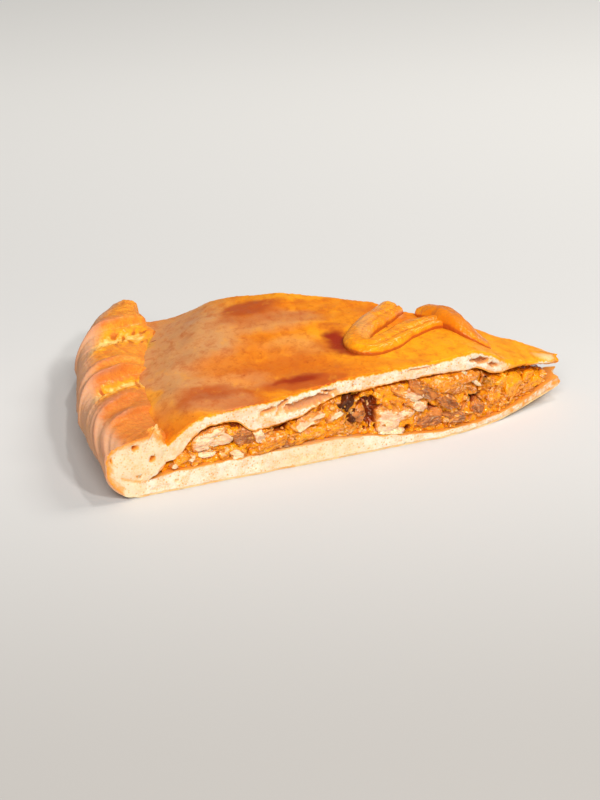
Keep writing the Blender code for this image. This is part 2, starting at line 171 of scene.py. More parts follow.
# Holes in the lid's front cut: where each is, half its length and half its height, how deep it
# goes, and by how many degrees it rises towards the point.
Hole = namedtuple("Hole", "radius height length tall deep rise")
LID_HOLES = (
    Hole(112.7, 18.5, 3.0, 0.8, 1.5, 8), Hole(108.4, 19.9, 2.2, 0.9, 2.0, 30),
    Hole(97.4, 20.5, 1.5, 0.8, 2.0, 25), Hole(94.6, 21.2, 2.6, 0.6, 1.7, -10),
    Hole(101.0, 18.8, 9.6, 1.5, 2.0, 9), Hole(64.0, 23.0, 6.4, 0.3, 0.9, 3),
    Hole(86.1, 21.5, 0.5, 0.4, 0.9, 0), Hole(82.2, 23.2, 0.3, 0.3, 0.7, 0),
    Hole(43.2, 21.3, 3.2, 1.0, 2.4, -16), Hole(38.2, 18.7, 2.8, 0.6, 1.8, -18))
# Holes in the roll's cut end and in the base's front cut.
ROPE_HOLES = (
    Hole(154.2, 14.6, 0.9, 0.9, 1.4, 0), Hole(148.8, 10.6, 1.0, 0.7, 1.2, 40),
    Hole(160.9, 12.0, 0.3, 0.9, 1.0, 0), Hole(152.8, 6.4, 1.1, 0.3, 0.9, 0),
    Hole(156.6, 9.0, 0.5, 0.4, 0.6, 0), Hole(150.6, 13.4, 0.4, 0.5, 0.5, 0))
BASE_HOLES = (
    Hole(141.6, 2.8, 0.6, 0.6, 0.9, 0), Hole(146.4, 1.6, 0.4, 0.3, 0.5, 0),
    Hole(151.0, 2.2, 0.3, 0.3, 0.5, 0), Hole(161.0, 6.6, 0.3, 0.8, 0.9, 0),
    Hole(126.0, 3.4, 0.9, 0.2, 0.4, 0), Hole(96.0, 3.6, 0.4, 0.3, 0.5, 0),
    Hole(84.0, 2.2, 0.4, 0.4, 0.5, 0), Hole(62.0, 1.6, 0.5, 0.3, 0.5, 0))
# Hollows between the filling's pieces, at the front cut.
FILLING_HOLLOWS = (
    Hole(129.5, 16.6, 5.0, 0.9, 3.5, 5), Hole(121.6, 16.4, 3.4, 1.6, 5.0, 5),
    Hole(124.4, 11.1, 1.3, 1.2, 4.0, 0), Hole(113.6, 9.9, 1.4, 1.2, 3.5, 0),
    Hole(108.4, 12.4, 3.2, 1.7, 5.0, 20), Hole(85.6, 17.8, 2.4, 1.8, 5.0, 0),
    Hole(79.6, 12.0, 3.4, 5.4, 3.6, 12), Hole(66.8, 4.6, 1.3, 1.0, 4.0, 0),
    Hole(60.5, 10.2, 5.0, 0.9, 4.0, -30), Hole(44.6, 10.4, 2.4, 2.4, 4.0, -40),
    Hole(40.3, 14.2, 1.4, 1.6, 4.0, -30), Hole(33.9, 8.8, 0.9, 1.8, 3.0, 0),
    Hole(27.0, 13.6, 3.4, 0.9, 3.0, 0))

# The chunks in the front cut: a height over a radius, half a length and half a height, how far
# each leans, and the share of its half height above which it slopes back from the cut.
Chunk = namedtuple("Chunk", "radius height length tall lean shoulder")
PALE_MEAT = (
    Chunk(130.0, 12.6, 5.9, 3.1, -4, 0.7), Chunk(115.8, 11.6, 1.6, 2.6, -26, 0.4),
    Chunk(121.9, 6.8, 2.8, 1.6, 0, 0.5), Chunk(136.7, 8.8, 1.4, 1.2, 0, 0.3),
    Chunk(99.7, 13.0, 4.6, 1.9, -12, 0.2), Chunk(71.2, 9.8, 6.2, 5.6, 12, 0.1),
    Chunk(64.2, 12.4, 4.0, 3.0, 26, 0.1), Chunk(142.0, 7.0, 1.2, 0.9, 0, 0.5),
    Chunk(91.6, 13.2, 2.6, 1.5, -30, 0.2), Chunk(68.0, 15.8, 5.6, 2.2, 14, 0.0))
BROWNED_MEAT = (
    Chunk(120.6, 12.2, 2.7, 3.7, -12, 0.3), Chunk(83.8, 12.6, 2.2, 2.4, 25, 0.4),
    Chunk(61.6, 15.6, 5.8, 2.5, 34, 0.3), Chunk(54.4, 11.4, 4.4, 2.2, 34, 0.5),
    Chunk(60.4, 6.6, 4.8, 3.0, -10, 0.2), Chunk(51.2, 5.8, 4.0, 2.6, 12, 0.2),
    Chunk(106.6, 8.2, 2.2, 1.6, 0, 0.3), Chunk(43.4, 6.8, 2.6, 2.2, 30, 0.3))
SAUCY_LUMPS = (
    Chunk(111.8, 8.8, 5.6, 3.0, -10, 0.2), Chunk(52.0, 16.6, 7.6, 3.4, 4, 0.2),
    Chunk(98.4, 8.8, 5.0, 2.4, -6, 0.2), Chunk(91.4, 9.0, 3.6, 2.4, -4, 0.3),
    Chunk(24.6, 7.8, 2.8, 2.2, -10, 0.3), Chunk(139.6, 9.0, 2.6, 2.2, -20, 0.2),
    Chunk(126.6, 7.6, 2.4, 2.0, 0, 0.2), Chunk(103.6, 8.0, 3.0, 2.2, 0, 0.3),
    Chunk(37.0, 8.6, 2.2, 3.0, 40, 0.3), Chunk(135.4, 7.4, 1.8, 1.4, 0, 0.3),
    Chunk(116.4, 6.6, 2.2, 1.3, 0, 0.4), Chunk(87.0, 8.8, 2.4, 2.2, 0, 0.3),
    Chunk(45.6, 13.0, 2.4, 1.6, 30, 0.3), Chunk(18.6, 9.6, 1.6, 1.2, 0, 0.3))
FAT_AND_ONION = (
    Chunk(131.9, 8.7, 3.2, 0.9, 2, 0.6), Chunk(72.2, 4.2, 4.3, 1.7, 6, 0.5),
    Chunk(46.2, 16.4, 5.2, 0.7, 42, 0.6))
PEPPER_BITS = (
    Chunk(30.2, 9.8, 3.8, 3.7, 30, 0.5), Chunk(20.6, 8.6, 2.2, 2.6, 20, 0.3),
    Chunk(34.6, 12.6, 2.2, 1.4, -40, 0.4), Chunk(104.2, 10.8, 2.0, 1.1, -20, 0.3),
    Chunk(24.4, 10.8, 2.2, 1.8, -20, 0.3))
DARK_SKINS = (
    Chunk(87.8, 16.2, 1.8, 3.0, 30, 0.6), Chunk(86.0, 12.0, 1.3, 2.4, 15, 0.6))
# Each kind of chunk: how much of the back cut it fills, how deep it reaches, how boxy and how
# lumpy it is, and how far its fibres stand out.
Kind = namedtuple("Kind", "name chunks share depth boxy lumpy fibrous")
KINDS = (
    Kind("pale_meat", PALE_MEAT, 0.4, 4.2, 0.24, 0.42, 0.32),
    Kind("browned_meat", BROWNED_MEAT, 0.5, 4.0, 0.2, 0.46, 0.6),
    Kind("saucy_meat", SAUCY_LUMPS, 0.7, 3.6, 0.15, 0.42, 0.22),
    Kind("fat_and_onion", FAT_AND_ONION, 0.25, 2.6, 0.1, 0.25, 0.08),
    Kind("pepper_bits", PEPPER_BITS, 0.2, 2.8, 0.25, 0.34, 0.1),
    Kind("dark_skins", DARK_SKINS, 0.1, 2.4, 0.1, 0.6, 0.5))
CHUNK_DETAIL = 4
# The kinds' seeds lie this far apart, and those of the two cuts this far.
KIND_SEEDS = 100
CUT_SEEDS = 50
# How many steps a shred of meat is drawn out in.
SHRED_STEPS = 9

# What the materials read from the meshes. The dark, deep and pit marks mostly carry painted shade
# in holes, hollows and creases; the rope's dark mark also holds its browned rim and seam.
CRUMB_MARKS = ("crumb", "soak", "dark")
ROPE_MARKS = ("crumb", "dark", "outward", "crest", "wash", "pit", "wall", "streak", "knob")
STRIP_MARKS = ("crumb", "pit")
SAUCE_MARKS = ("deep",)
CHUNK_MARKS = ("cut", "deep", "run", "rise", "into")

# How the lid is baked: ovals in the pie's plan, painted one over the other. The broad tan oval
# over the lid's left part is a painted sheen, and the olive oval beside the rope is painted shade.
# Each has its middle, half its size along and across the slice, how strong it is and its colour.
Oval = namedtuple("Oval", "across deep length width strength color")
LID_BAKING = (
    Oval(-128, 8, 19, 44, 0.95, "tan"), Oval(-58, -10, 30, 16, 0.85, "yellow"),
    Oval(-86, 36, 13, 7, 0.85, "yellow"), Oval(-20, 4, 18, 14, 0.9, "yellow"),
    Oval(-138.5, -24, 3.4, 10, 0.7, "yellow"), Oval(-96, -8, 9, 9, 0.45, "tan"),
    Oval(-107, -16, 17, 12, 0.8, "orange"), Oval(-97, 13, 12, 8, 0.65, "tan"),
    Oval(-98, 4, 10, 4, 0.4, "orange"), Oval(-104, 27, 9, 6, 0.95, "brown"),
    Oval(-105, 19, 10, 7, 0.5, "brown"), Oval(-90, 14, 10, 5, 0.35, "brown"),
    Oval(-97, -22, 14, 10, 0.4, "brown"), Oval(-95, -31, 13, 4.5, 0.9, "brown"),
    Oval(-119, -36, 13, 8, 0.85, "brown"), Oval(-105, -45, 14, 4, 0.6, "brown"),
    Oval(-119, -40, 10, 7, 0.45, "tan"), Oval(-111, -26, 8, 6, 0.4, "tan"),
    Oval(-74, -21, 11, 3.5, 0.3, "brown"), Oval(-82, 4, 4, 4, 0.5, "brown"),
    Oval(-80, -9, 9, 7, 0.6, "brown"), Oval(-137, 26, 3, 10, 0.5, "olive"))
LID_SCORCHES = (
    Oval(-82.0, -3.0, 3.4, 4.4, 1.0, "burnt"), Oval(-80.5, -9.0, 3.6, 4.4, 0.95, "burnt"),
    Oval(-76.5, -14.6, 6.0, 2.4, 0.85, "burnt"), Oval(-95.0, -29.0, 5.0, 2.6, 0.9, "burnt"),
    Oval(-100.5, -29.5, 2.4, 1.6, 0.6, "burnt"), Oval(-120, -35, 5.0, 3.0, 0.35, "burnt"),
    Oval(-133.0, 26.8, 0.7, 0.5, 0.95, "burnt"), Oval(-139.1, -24.2, 0.9, 0.8, 0.95, "burnt"),
    Oval(-65.7, 6.2, 1.0, 0.6, 0.8, "burnt"))
# Where the lid's skin is torn off or has stayed pale.
LID_BARE_SPOTS = (
    Oval(-15.4, 5.7, 4.2, 2.0, 0.8, "crumb_shade"),
    Oval(-60.5, 20.0, 2.2, 4.0, 0.35, "crumb_shade"))

# The camera looks at this point of the pie.
VIEW_TARGET = Vector((-93.8, -16.9, 12.0))
FLOOR_HALF = 3.0


# ---------------------------------------------------------------- curves and places

def ripple(x, y, z, grain=1.0):
    """Smooth noise from -1 to 1 at three numbers, with waves of about twice the grain."""
    return noise.noise(Vector((x, y, z)) / grain)


def smoothstep(value):
    """Ease from 0 to 1 as the value goes from 0 to 1."""
    value = min(max(value, 0.0), 1.0)
    return value * value * (3.0 - 2.0 * value)


def blend(first, second, share):
    """The value that lies at the share of the way from first to second."""
    return first + (second - first) * share


def hump(value, width):
    """A soft hump that is 1 at a value of 0."""
    return math.exp(-(value / width) ** 2)


def slope_at(profile, index):
    """The slope of a profile at one of its points, flat where it turns, so it can't overshoot."""
    if index == 0 or index == len(profile) - 1:
        near = min(max(index, 1), len(profile) - 1)
        (x0, y0), (x1, y1) = profile[near - 1], profile[near]
        return (y1 - y0) / (x1 - x0)
    (x0, y0), (x1, y1), (x2, y2) = profile[index - 1:index + 2]
    before = (y1 - y0) / (x1 - x0)
    after = (y2 - y1) / (x2 - x1)
    if before * after <= 0.0:
        return 0.0
    return 2.0 * before * after / (before + after)


def along(profile, radius):
    """The height of a profile at a radius, on a smooth curve through its points."""
    radius = min(max(radius, profile[0][0]), profile[-1][0])
    index = 0
    while index < len(profile) - 2 and radius > profile[index + 1][0]:
        index += 1
    (x0, y0), (x1, y1) = profile[index], profile[index + 1]
    span = x1 - x0
    share = (radius - x0) / span
    pull = share * share * (3.0 - 2.0 * share)
    start = share * (1.0 - share) ** 2
    end = share * share * (share - 1.0)
    return blend(y0, y1, pull) + span * (start * slope_at(profile, index)
                                         + end * slope_at(profile, index + 1))


def find_pie_centre():
    """The centre of the pie on the table, in the frame, in metres."""
    half = SLICE_ANGLE / 2.0
    return Vector((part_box("lid_crust")[1].x + TIP_RADIUS * math.cos(half) * MM,
                   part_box("base_crust")[0].y + LIP_RADIUS * math.sin(half) * MM, 0.0))


PIE_CENTRE = find_pie_centre()


def rim_pull(radius, side):
    """How far the slice draws in at a radius of the front cut."""
    start, end = RIM_PULL_SPAN
    return RIM_PULL * smoothstep(side / 0.5) * smoothstep((radius - start) / (end - start))


def swerve(radius):
    """How far the slice bends towards its back cut at a radius."""
    return TIP_SWERVE * smoothstep(1.0 - radius / TIP_SWERVE_START)


def pie_point(radius, side, height):
    """A point of the slice in the frame, in metres."""
    real = radius - rim_pull(radius, side)
    angle = (side - 0.5) * SLICE_ANGLE
    return PIE_CENTRE + Vector((-real * math.cos(angle),
                                real * math.sin(angle) + swerve(radius), height)) * MM


def pie_place(across, deep):
    """The radius and the side of a point of the pie's plan."""
    radius = math.hypot(across, deep)
    side = 0.5
    for _ in range(6):
        straight = deep - swerve(radius)
        side = math.atan2(straight, -across) / SLICE_ANGLE + 0.5
        radius = math.hypot(across, straight) + rim_pull(radius, side)
    return radius, side


def side_of(depth, radius, back):
    """The side at a depth behind a cut."""
    share = depth / (radius * SLICE_ANGLE)
    return 1.0 - share if back else share


def pushed_in(side, dent, radius, front):
    """The side of a place in a cut that a dent has pushed into the slice."""
    return side + (dent if front else -dent) / (radius * SLICE_ANGLE)


def behind_cuts(side):
    """How far a place of the rim lies behind the nearer cut, eased from 0 to 1."""
    return smoothstep(min(side, 1.0 - side) * SLICE_ANGLE * ROPE_RADIUS / CUT_BLEND)


def in_cuts(side):
    """Whether a side lies in the front cut, and whether it lies in the back cut."""
    return side < END, side > 1.0 - END


def rope_half_width(side):
    """Half the rope's width."""
    return blend(*ROPE_HALF_WIDTH, side)


def rough(radius, side, height, grain, seed=0.0):
    """Smooth noise from -1 to 1 over the slice, with waves of about twice the grain."""
    arc = (side - 0.5) * SLICE_ANGLE * radius
    return ripple(radius, arc + seed * 37.0, height, grain)


def lid_top(radius, side):
    """The lid's upper face, with the soft lumps that the filling presses into it."""
    crown = LID_CROWN * math.sin(math.pi * min(max(side, 0.0), 1.0))
    flat = blend(along(LID_TOP_FRONT, radius), along(LID_TOP_BACK, radius), smoothstep(side))
    lumps = 0.5 * rough(radius, side, 0.0, 14.0) + 0.22 * rough(radius, side, 0.0, 6.0, 1.0)
    return flat + crown + lumps + 0.06 * rough(radius, side, 0.0, 1.8, 2.0)


def lid_under(radius, side):
    """The lid's lower face."""
    flat = blend(along(LID_UNDER_FRONT, radius), along(LID_UNDER_BACK, radius), smoothstep(side))
    return flat + 0.35 * rough(radius, side, 9.0, 4.0) + 0.15 * rough(radius, side, 9.0, 1.4)


def route_point(route, share):
    """The point at a share of the way along a smooth route through its points."""
    place = share * (len(route) - 1)
    index = min(int(place), len(route) - 2)
    share = place - index
    before = Vector(route[max(index - 1, 0)])
    start, end = Vector(route[index]), Vector(route[index + 1])
    after = Vector(route[min(index + 2, len(route) - 1)])
    return 0.5 * (2.0 * start + (end - before) * share
                  + (2.0 * before - 5.0 * start + 4.0 * end - after) * share ** 2
                  + (3.0 * start - before - 3.0 * end + after) * share ** 3)


# ---------------------------------------------------------------- relief

def pores(radius, height, spacing, size, seed):
    """The depth from 0 to 1 of the round pores of bread crumb at a place in a cut."""
    spot = Vector((radius, seed * 11.0, height)) / spacing
    distances, centres = noise.voronoi(spot)
    share = size * (0.25 + noise.cell(centres[0] * 9.0))
    return smoothstep(1.0 - distances[0] / max(share, 0.02))


def hole_depth(holes, radius, height):
    """How deep the holes of a list go at a place in a cut."""
    depth = 0.0
    for hole in holes:
        turn = math.radians(hole.rise)
        ahead, above = hole.radius - radius, height - hole.height
        across = (ahead * math.cos(turn) + above * math.sin(turn)) / hole.length
        up = (above * math.cos(turn) - ahead * math.sin(turn)) / hole.tall
        ragged = 0.55 * ripple(radius, 5.0, height, 0.9)
        depth = max(depth, hole.deep * smoothstep(1.35 - math.hypot(across, up) + ragged))
    return depth


def crumb_dent(radius, height, seed, depth):
    """How far bread crumb lies behind the knife's cut."""
    waves = 0.35 * ripple(radius, seed * 5.0, height, 2.8)
    grain = 0.18 * ripple(radius, seed * 5.0, height, 0.55)
    large = pores(radius, height, 2.4, 0.36, seed) * 0.7
    small = pores(radius, height, 1.0, 0.40, seed + 3.0) * 0.35
    return (waves + grain + large + small) * depth


def fold_relief(angle, outward):
    """How far the rope's skin stands out, and how much of it is crest, washed hollow and pit,
    where the pit is painted shade under a fold's steep edge.

    Outward runs from 0 in the valley beside the lid over the top to 1 on the outer flank.
    """
    relief = FOLD_FULLNESS
    crest = wash = pit = 0.0
    flank = smoothstep((outward - 0.45) / 0.45)
    inner = 1.0 - smoothstep(outward / 0.34)
    for fold in FOLDS:
        sway = ripple(outward * 3.2, fold.start, 0.0)
        behind = angle - fold.start + fold.sweep * outward ** FOLD_CURVE + 0.8 * sway
        shown = smoothstep((outward - fold.first) / 0.16 + 0.4)
        strength = shown * (1.0 + 0.5 * ripple(outward * 4.0, fold.start, 6.0))
        ridge = strength * hump(behind, fold.breadth if behind > 0.0 else FOLD_STEEP)
        grown = 0.25 + 0.75 * smoothstep(outward / 0.2)
        ahead = -behind
        drop = smoothstep(ahead / (2.2 * FOLD_STEEP))
        drop *= 1.0 - smoothstep((ahead - 0.3 * fold.reach) / fold.reach)
        bowl = hump(ahead - 0.6 * fold.reach, 0.42 * fold.reach)
        narrow = shown * hump(ahead - 2.6 * FOLD_STEEP, 1.6 * FOLD_STEEP)
        relief += ridge * fold.height * grown * (1.0 - 0.5 * flank)
        sunk = smoothstep((outward - 0.06) / 0.24) * (1.0 - 0.85 * flank)
        relief -= shown * (0.45 * drop + 0.6 * bowl) * sunk * fold.depth
        relief -= narrow * 0.4 * inner * fold.depth
        crest = max(crest, ridge)
        wash = max(wash, shown * hump(behind + 0.75 * fold.reach, 0.5 * fold.reach) * fold.wash)
        pit = max(pit, narrow * (0.25 + 0.75 * inner) * min(fold.depth, 1.0) * (1.0 - flank))
    return relief, crest, wash, pit


# ---------------------------------------------------------------- meshes

def marked_shape(marks):
    """An empty bmesh whose corners can hold marks."""
    shape = bmesh.new()
    for mark in marks:
        shape.verts.layers.float.new(mark)
    return shape


def slab(cells, marks):
    """A block one unit each way, cut into rows, columns and layers of cells."""
    rows, columns, layers = cells
    shape = marked_shape(marks)
    bmesh.ops.create_grid(shape, x_segments=rows, y_segments=columns, size=0.5)
    patch = shape.faces[:] + shape.edges[:]
    grown = bmesh.ops.extrude_face_region(shape, geom=patch)["geom"]
    corners = [item for item in grown if isinstance(item, bmesh.types.BMVert)]
    bmesh.ops.translate(shape, verts=corners, vec=(0.0, 0.0, 1.0))
    upright = [edge for edge in shape.edges
               if abs(edge.verts[0].co.z - edge.verts[1].co.z) > 0.5]
    bmesh.ops.subdivide_edges(shape, edges=upright, cuts=layers - 1, use_grid_fill=True)
    bmesh.ops.translate(shape, verts=shape.verts, vec=(0.5, 0.5, 0.0))
    return shape


def mould(shape, corners, place):
    """Move corners to place(their unit position), which also gives the marks left on them."""
    layers = shape.verts.layers.float.values()
    for corner in corners:
        spot, values = place(corner.co.x, corner.co.y, corner.co.z)
        corner.co = spot
        for layer, value in zip(layers, values):
            corner[layer] = value


def to_disc(u, v):
    """A unit square's point as its distance from the middle and its angle on a disc."""
    x, y = 2.0 * u - 1.0, 2.0 * v - 1.0
    flat = Vector((x * math.sqrt(1.0 - y * y / 2.0), y * math.sqrt(1.0 - x * x / 2.0)))
    return min(flat.length, 1.0), math.atan2(flat.y, flat.x)


def crowd(share, strength):
    """Draw evenly spaced shares closer together at both ends."""
    return share - strength * math.sin(2.0 * math.pi * share) / (2.0 * math.pi)


def add_piece(name, shape, material, slot, *replaced):
    """Turn a bmesh into a piece that rides on the slice and stands for some of its nodes."""
    bmesh.ops.recalc_face_normals(shape, faces=shape.faces)
    if shape.calc_volume(signed=True) < 0.0:
        bmesh.ops.reverse_faces(shape, faces=shape.faces)
    mesh = bpy.data.meshes.new(name)
    shape.to_mesh(mesh)
    shape.free()
    mesh.materials.append(material)
    mesh.shade_smooth()
    mesh.set_sharp_from_angle(angle=SHARP_ANGLE)
    piece = bpy.data.objects.new(name, mesh)
    bpy.context.scene.collection.objects.link(piece)
    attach(piece, "root")
    if replaced:
        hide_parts(*replaced)
    return piece


# ---------------------------------------------------------------- sizes and colours

def paint(red, green, blue):
    """A colour as Blender stores it, from the values that a screen shows."""
    def linear(value):
        value /= 255.0
        return value / 12.92 if value <= 0.04045 else ((value + 0.055) / 1.055) ** 2.4
    return linear(red), linear(green), linear(blue)


def color_setting(name, description, *screen):
    """A colour that the panel shows."""
    return FloatVectorProperty(name=name, description=description, subtype="COLOR",
                               size=3, min=0.0, max=1.0, default=paint(*screen))


class PIE_PG_crust(bpy.types.PropertyGroup):
    """How the crust is baked."""
    yellow: color_setting("Yellow", "Least baked parts of the lid", 250, 162, 20)
    orange: color_setting("Orange", "Glazed parts of the lid", 222, 119, 14)
    # Tan is partly dull, dry crust and partly a painted sheen: the pale reflection on the lid's
    # left part and on the rope.
    tan: color_setting("Tan", "Dull, dry parts of the lid", 212, 149, 92)
    brown: color_setting("Brown", "Well baked parts", 182, 80, 26)
    burnt: color_setting("Burnt", "Scorched spots", 146, 40, 12)
    olive: color_setting("Olive", "The shaded hollow beside the rope", 206, 152, 18)
    # The flank colour is the rope's dry pale skin with a painted reflection of the bright
    # surroundings on it.
    flank: color_setting("Flank", "The rope's dry outer side", 206, 152, 116)
    # The wash colour is pale partly because it holds a painted highlight.
    wash: color_setting("Wash", "Egg wash that has pooled in the rope's folds", 255, 218, 130)
    # Mauve is the browned edges of the rope's folds with a painted highlight along them, and
    # painted shade in the lid's holes.
    mauve_sheen_and_shade: color_setting("Mauve", "The edges of the rope's folds", 182, 116, 88)
    crumb: color_setting("Crumb", "The cut bread", 236, 224, 200)
    crumb_shade: color_setting("Crumb shade", "Pores and folds in the cut bread", 232, 195, 140)
    soaked: color_setting("Soaked", "Crumb that the filling has coloured", 236, 154, 62)
    wobble: FloatProperty(name="Wobble", description="How unevenly the knife cut the crust",
                          default=0.4 * MM, min=0.0, soft_max=1.5 * MM, unit="LENGTH")
    grain: FloatProperty(name="Grain", description="Height of the skin's finest bumps",
                         default=0.12 * MM, min=0.0, soft_max=1.0 * MM, unit="LENGTH")


class PIE_PG_filling(bpy.types.PropertyGroup):
    """What the slice is filled with."""
    sauce: color_setting("Sauce", "Sauce in the light", 252, 156, 14)
    # Deep sauce is partly the sauce's darker tone and partly painted shade between and behind the
    # pieces.
    deep_sauce_and_shade: color_setting("Deep sauce", "Sauce between the pieces", 150, 54, 12)
    pale_meat: color_setting("Pale meat", "Meat where the knife went through", 253, 222, 180)
    meat_shade: color_setting("Meat shade", "Between the pale meat's fibres", 228, 168, 124)
    brown_meat: color_setting("Browned meat", "Fibrous browned meat", 214, 130, 60)
    brown_shade: color_setting("Browned meat shade", "Between its fibres", 120, 52, 18)
    # Fat and onion is also the colour of painted highlights on the wet sauce's ripples and along
    # the meat's fibres.
    fat_and_highlight: color_setting("Fat and onion", "Pale translucent pieces", 254, 216, 172)
    pepper: color_setting("Pepper", "Bits of pepper", 252, 158, 16)
    # Dark skin also serves as painted shade in the sauce's deepest hollows.
    skin: color_setting("Dark skin", "Shrivelled dark pieces", 70, 34, 20)
    recess: FloatProperty(name="Recess", description="From the cuts back to the sauce",
                          default=1.4 * MM, min=0.0, soft_max=6.0 * MM, unit="LENGTH")
    grains: IntProperty(name="Grains", description="Loose grains in the sauce of each cut",
                        default=130, min=0, soft_max=1000)
    shreds: IntProperty(name="Shreds", description="Shreds of meat in each cut",
                        default=70, min=0, soft_max=300)
    seed: IntProperty(name="Seed", description="Which pieces the back cut shows",
                      default=5, min=0)


class PIE_PG_stage(bpy.types.PropertyGroup):
    """The floor, the lights and the view."""
    # The floor's colours paint its light: darker before the slice, brighter far behind it.
    floor_near_shaded: color_setting("Near floor", "The floor before the slice", 172, 168, 163)
    floor_mid: color_setting("Floor", "The floor beside the slice", 213, 211, 208)
    floor_far_lit: color_setting("Far floor", "The floor far behind it", 236, 234, 230)
    azimuth: FloatProperty(name="Azimuth", description="The camera's way round the slice",
                           default=-0.13297, unit="ROTATION", subtype="ANGLE")
    elevation: FloatProperty(name="Elevation", description="How far the camera looks down",
                             default=0.38397, unit="ROTATION", subtype="ANGLE")
    roll: FloatProperty(name="Roll", description="The camera's tilt", default=0.02005,
                        unit="ROTATION", subtype="ANGLE")
    distance: FloatProperty(name="Distance", description="From the camera to the slice",
                            default=0.7, min=0.1, unit="LENGTH")
    lens: FloatProperty(name="Lens", description="Focal length in mm for a 36 mm sensor",
                        default=108.96, min=20.0, soft_max=200.0)
    key_power: FloatProperty(name="Key light", description="Power of the large light behind, in W",
                             default=5.5, min=0.0, soft_max=60.0)
    fill_power: FloatProperty(name="Fill light", description="Power of the light in front, in W",
                              default=11.9, min=0.0, soft_max=60.0)
    glint_power: FloatProperty(name="Glint light", description="Power of the small light, in W",
                               default=4.8, min=0.0, soft_max=20.0)
    spark_power: FloatProperty(name="Spark light", description="Power of the tiny light, in W",
                               default=2.2, min=0.0, soft_max=20.0)
    sky: FloatProperty(name="Sky", description="Brightness of the surroundings", default=0.22,
                       min=0.0, soft_max=2.0)
    sky_color: color_setting("Sky colour", "Colour of the surroundings", 236, 235, 232)


# ---------------------------------------------------------------- materials

class Wire:
    """A socket of a material on which Python's arithmetic adds Math nodes."""

    def __init__(self, finish, socket):
        self.finish = finish
        self.socket = socket

    def join(self, operation, first, second):
        """The result of a Math node."""
        return self.finish.node("ShaderNodeMath", {"operation": operation},
                                {0: first, 1: second})

    def __add__(self, other):
        return self.join("ADD", self, other)

    __radd__ = __add__

    def __mul__(self, other):
        return self.join("MULTIPLY", self, other)

    __rmul__ = __mul__

    def __sub__(self, other):
        return self.join("SUBTRACT", self, other)

    def __rsub__(self, other):
        return self.join("SUBTRACT", other, self)


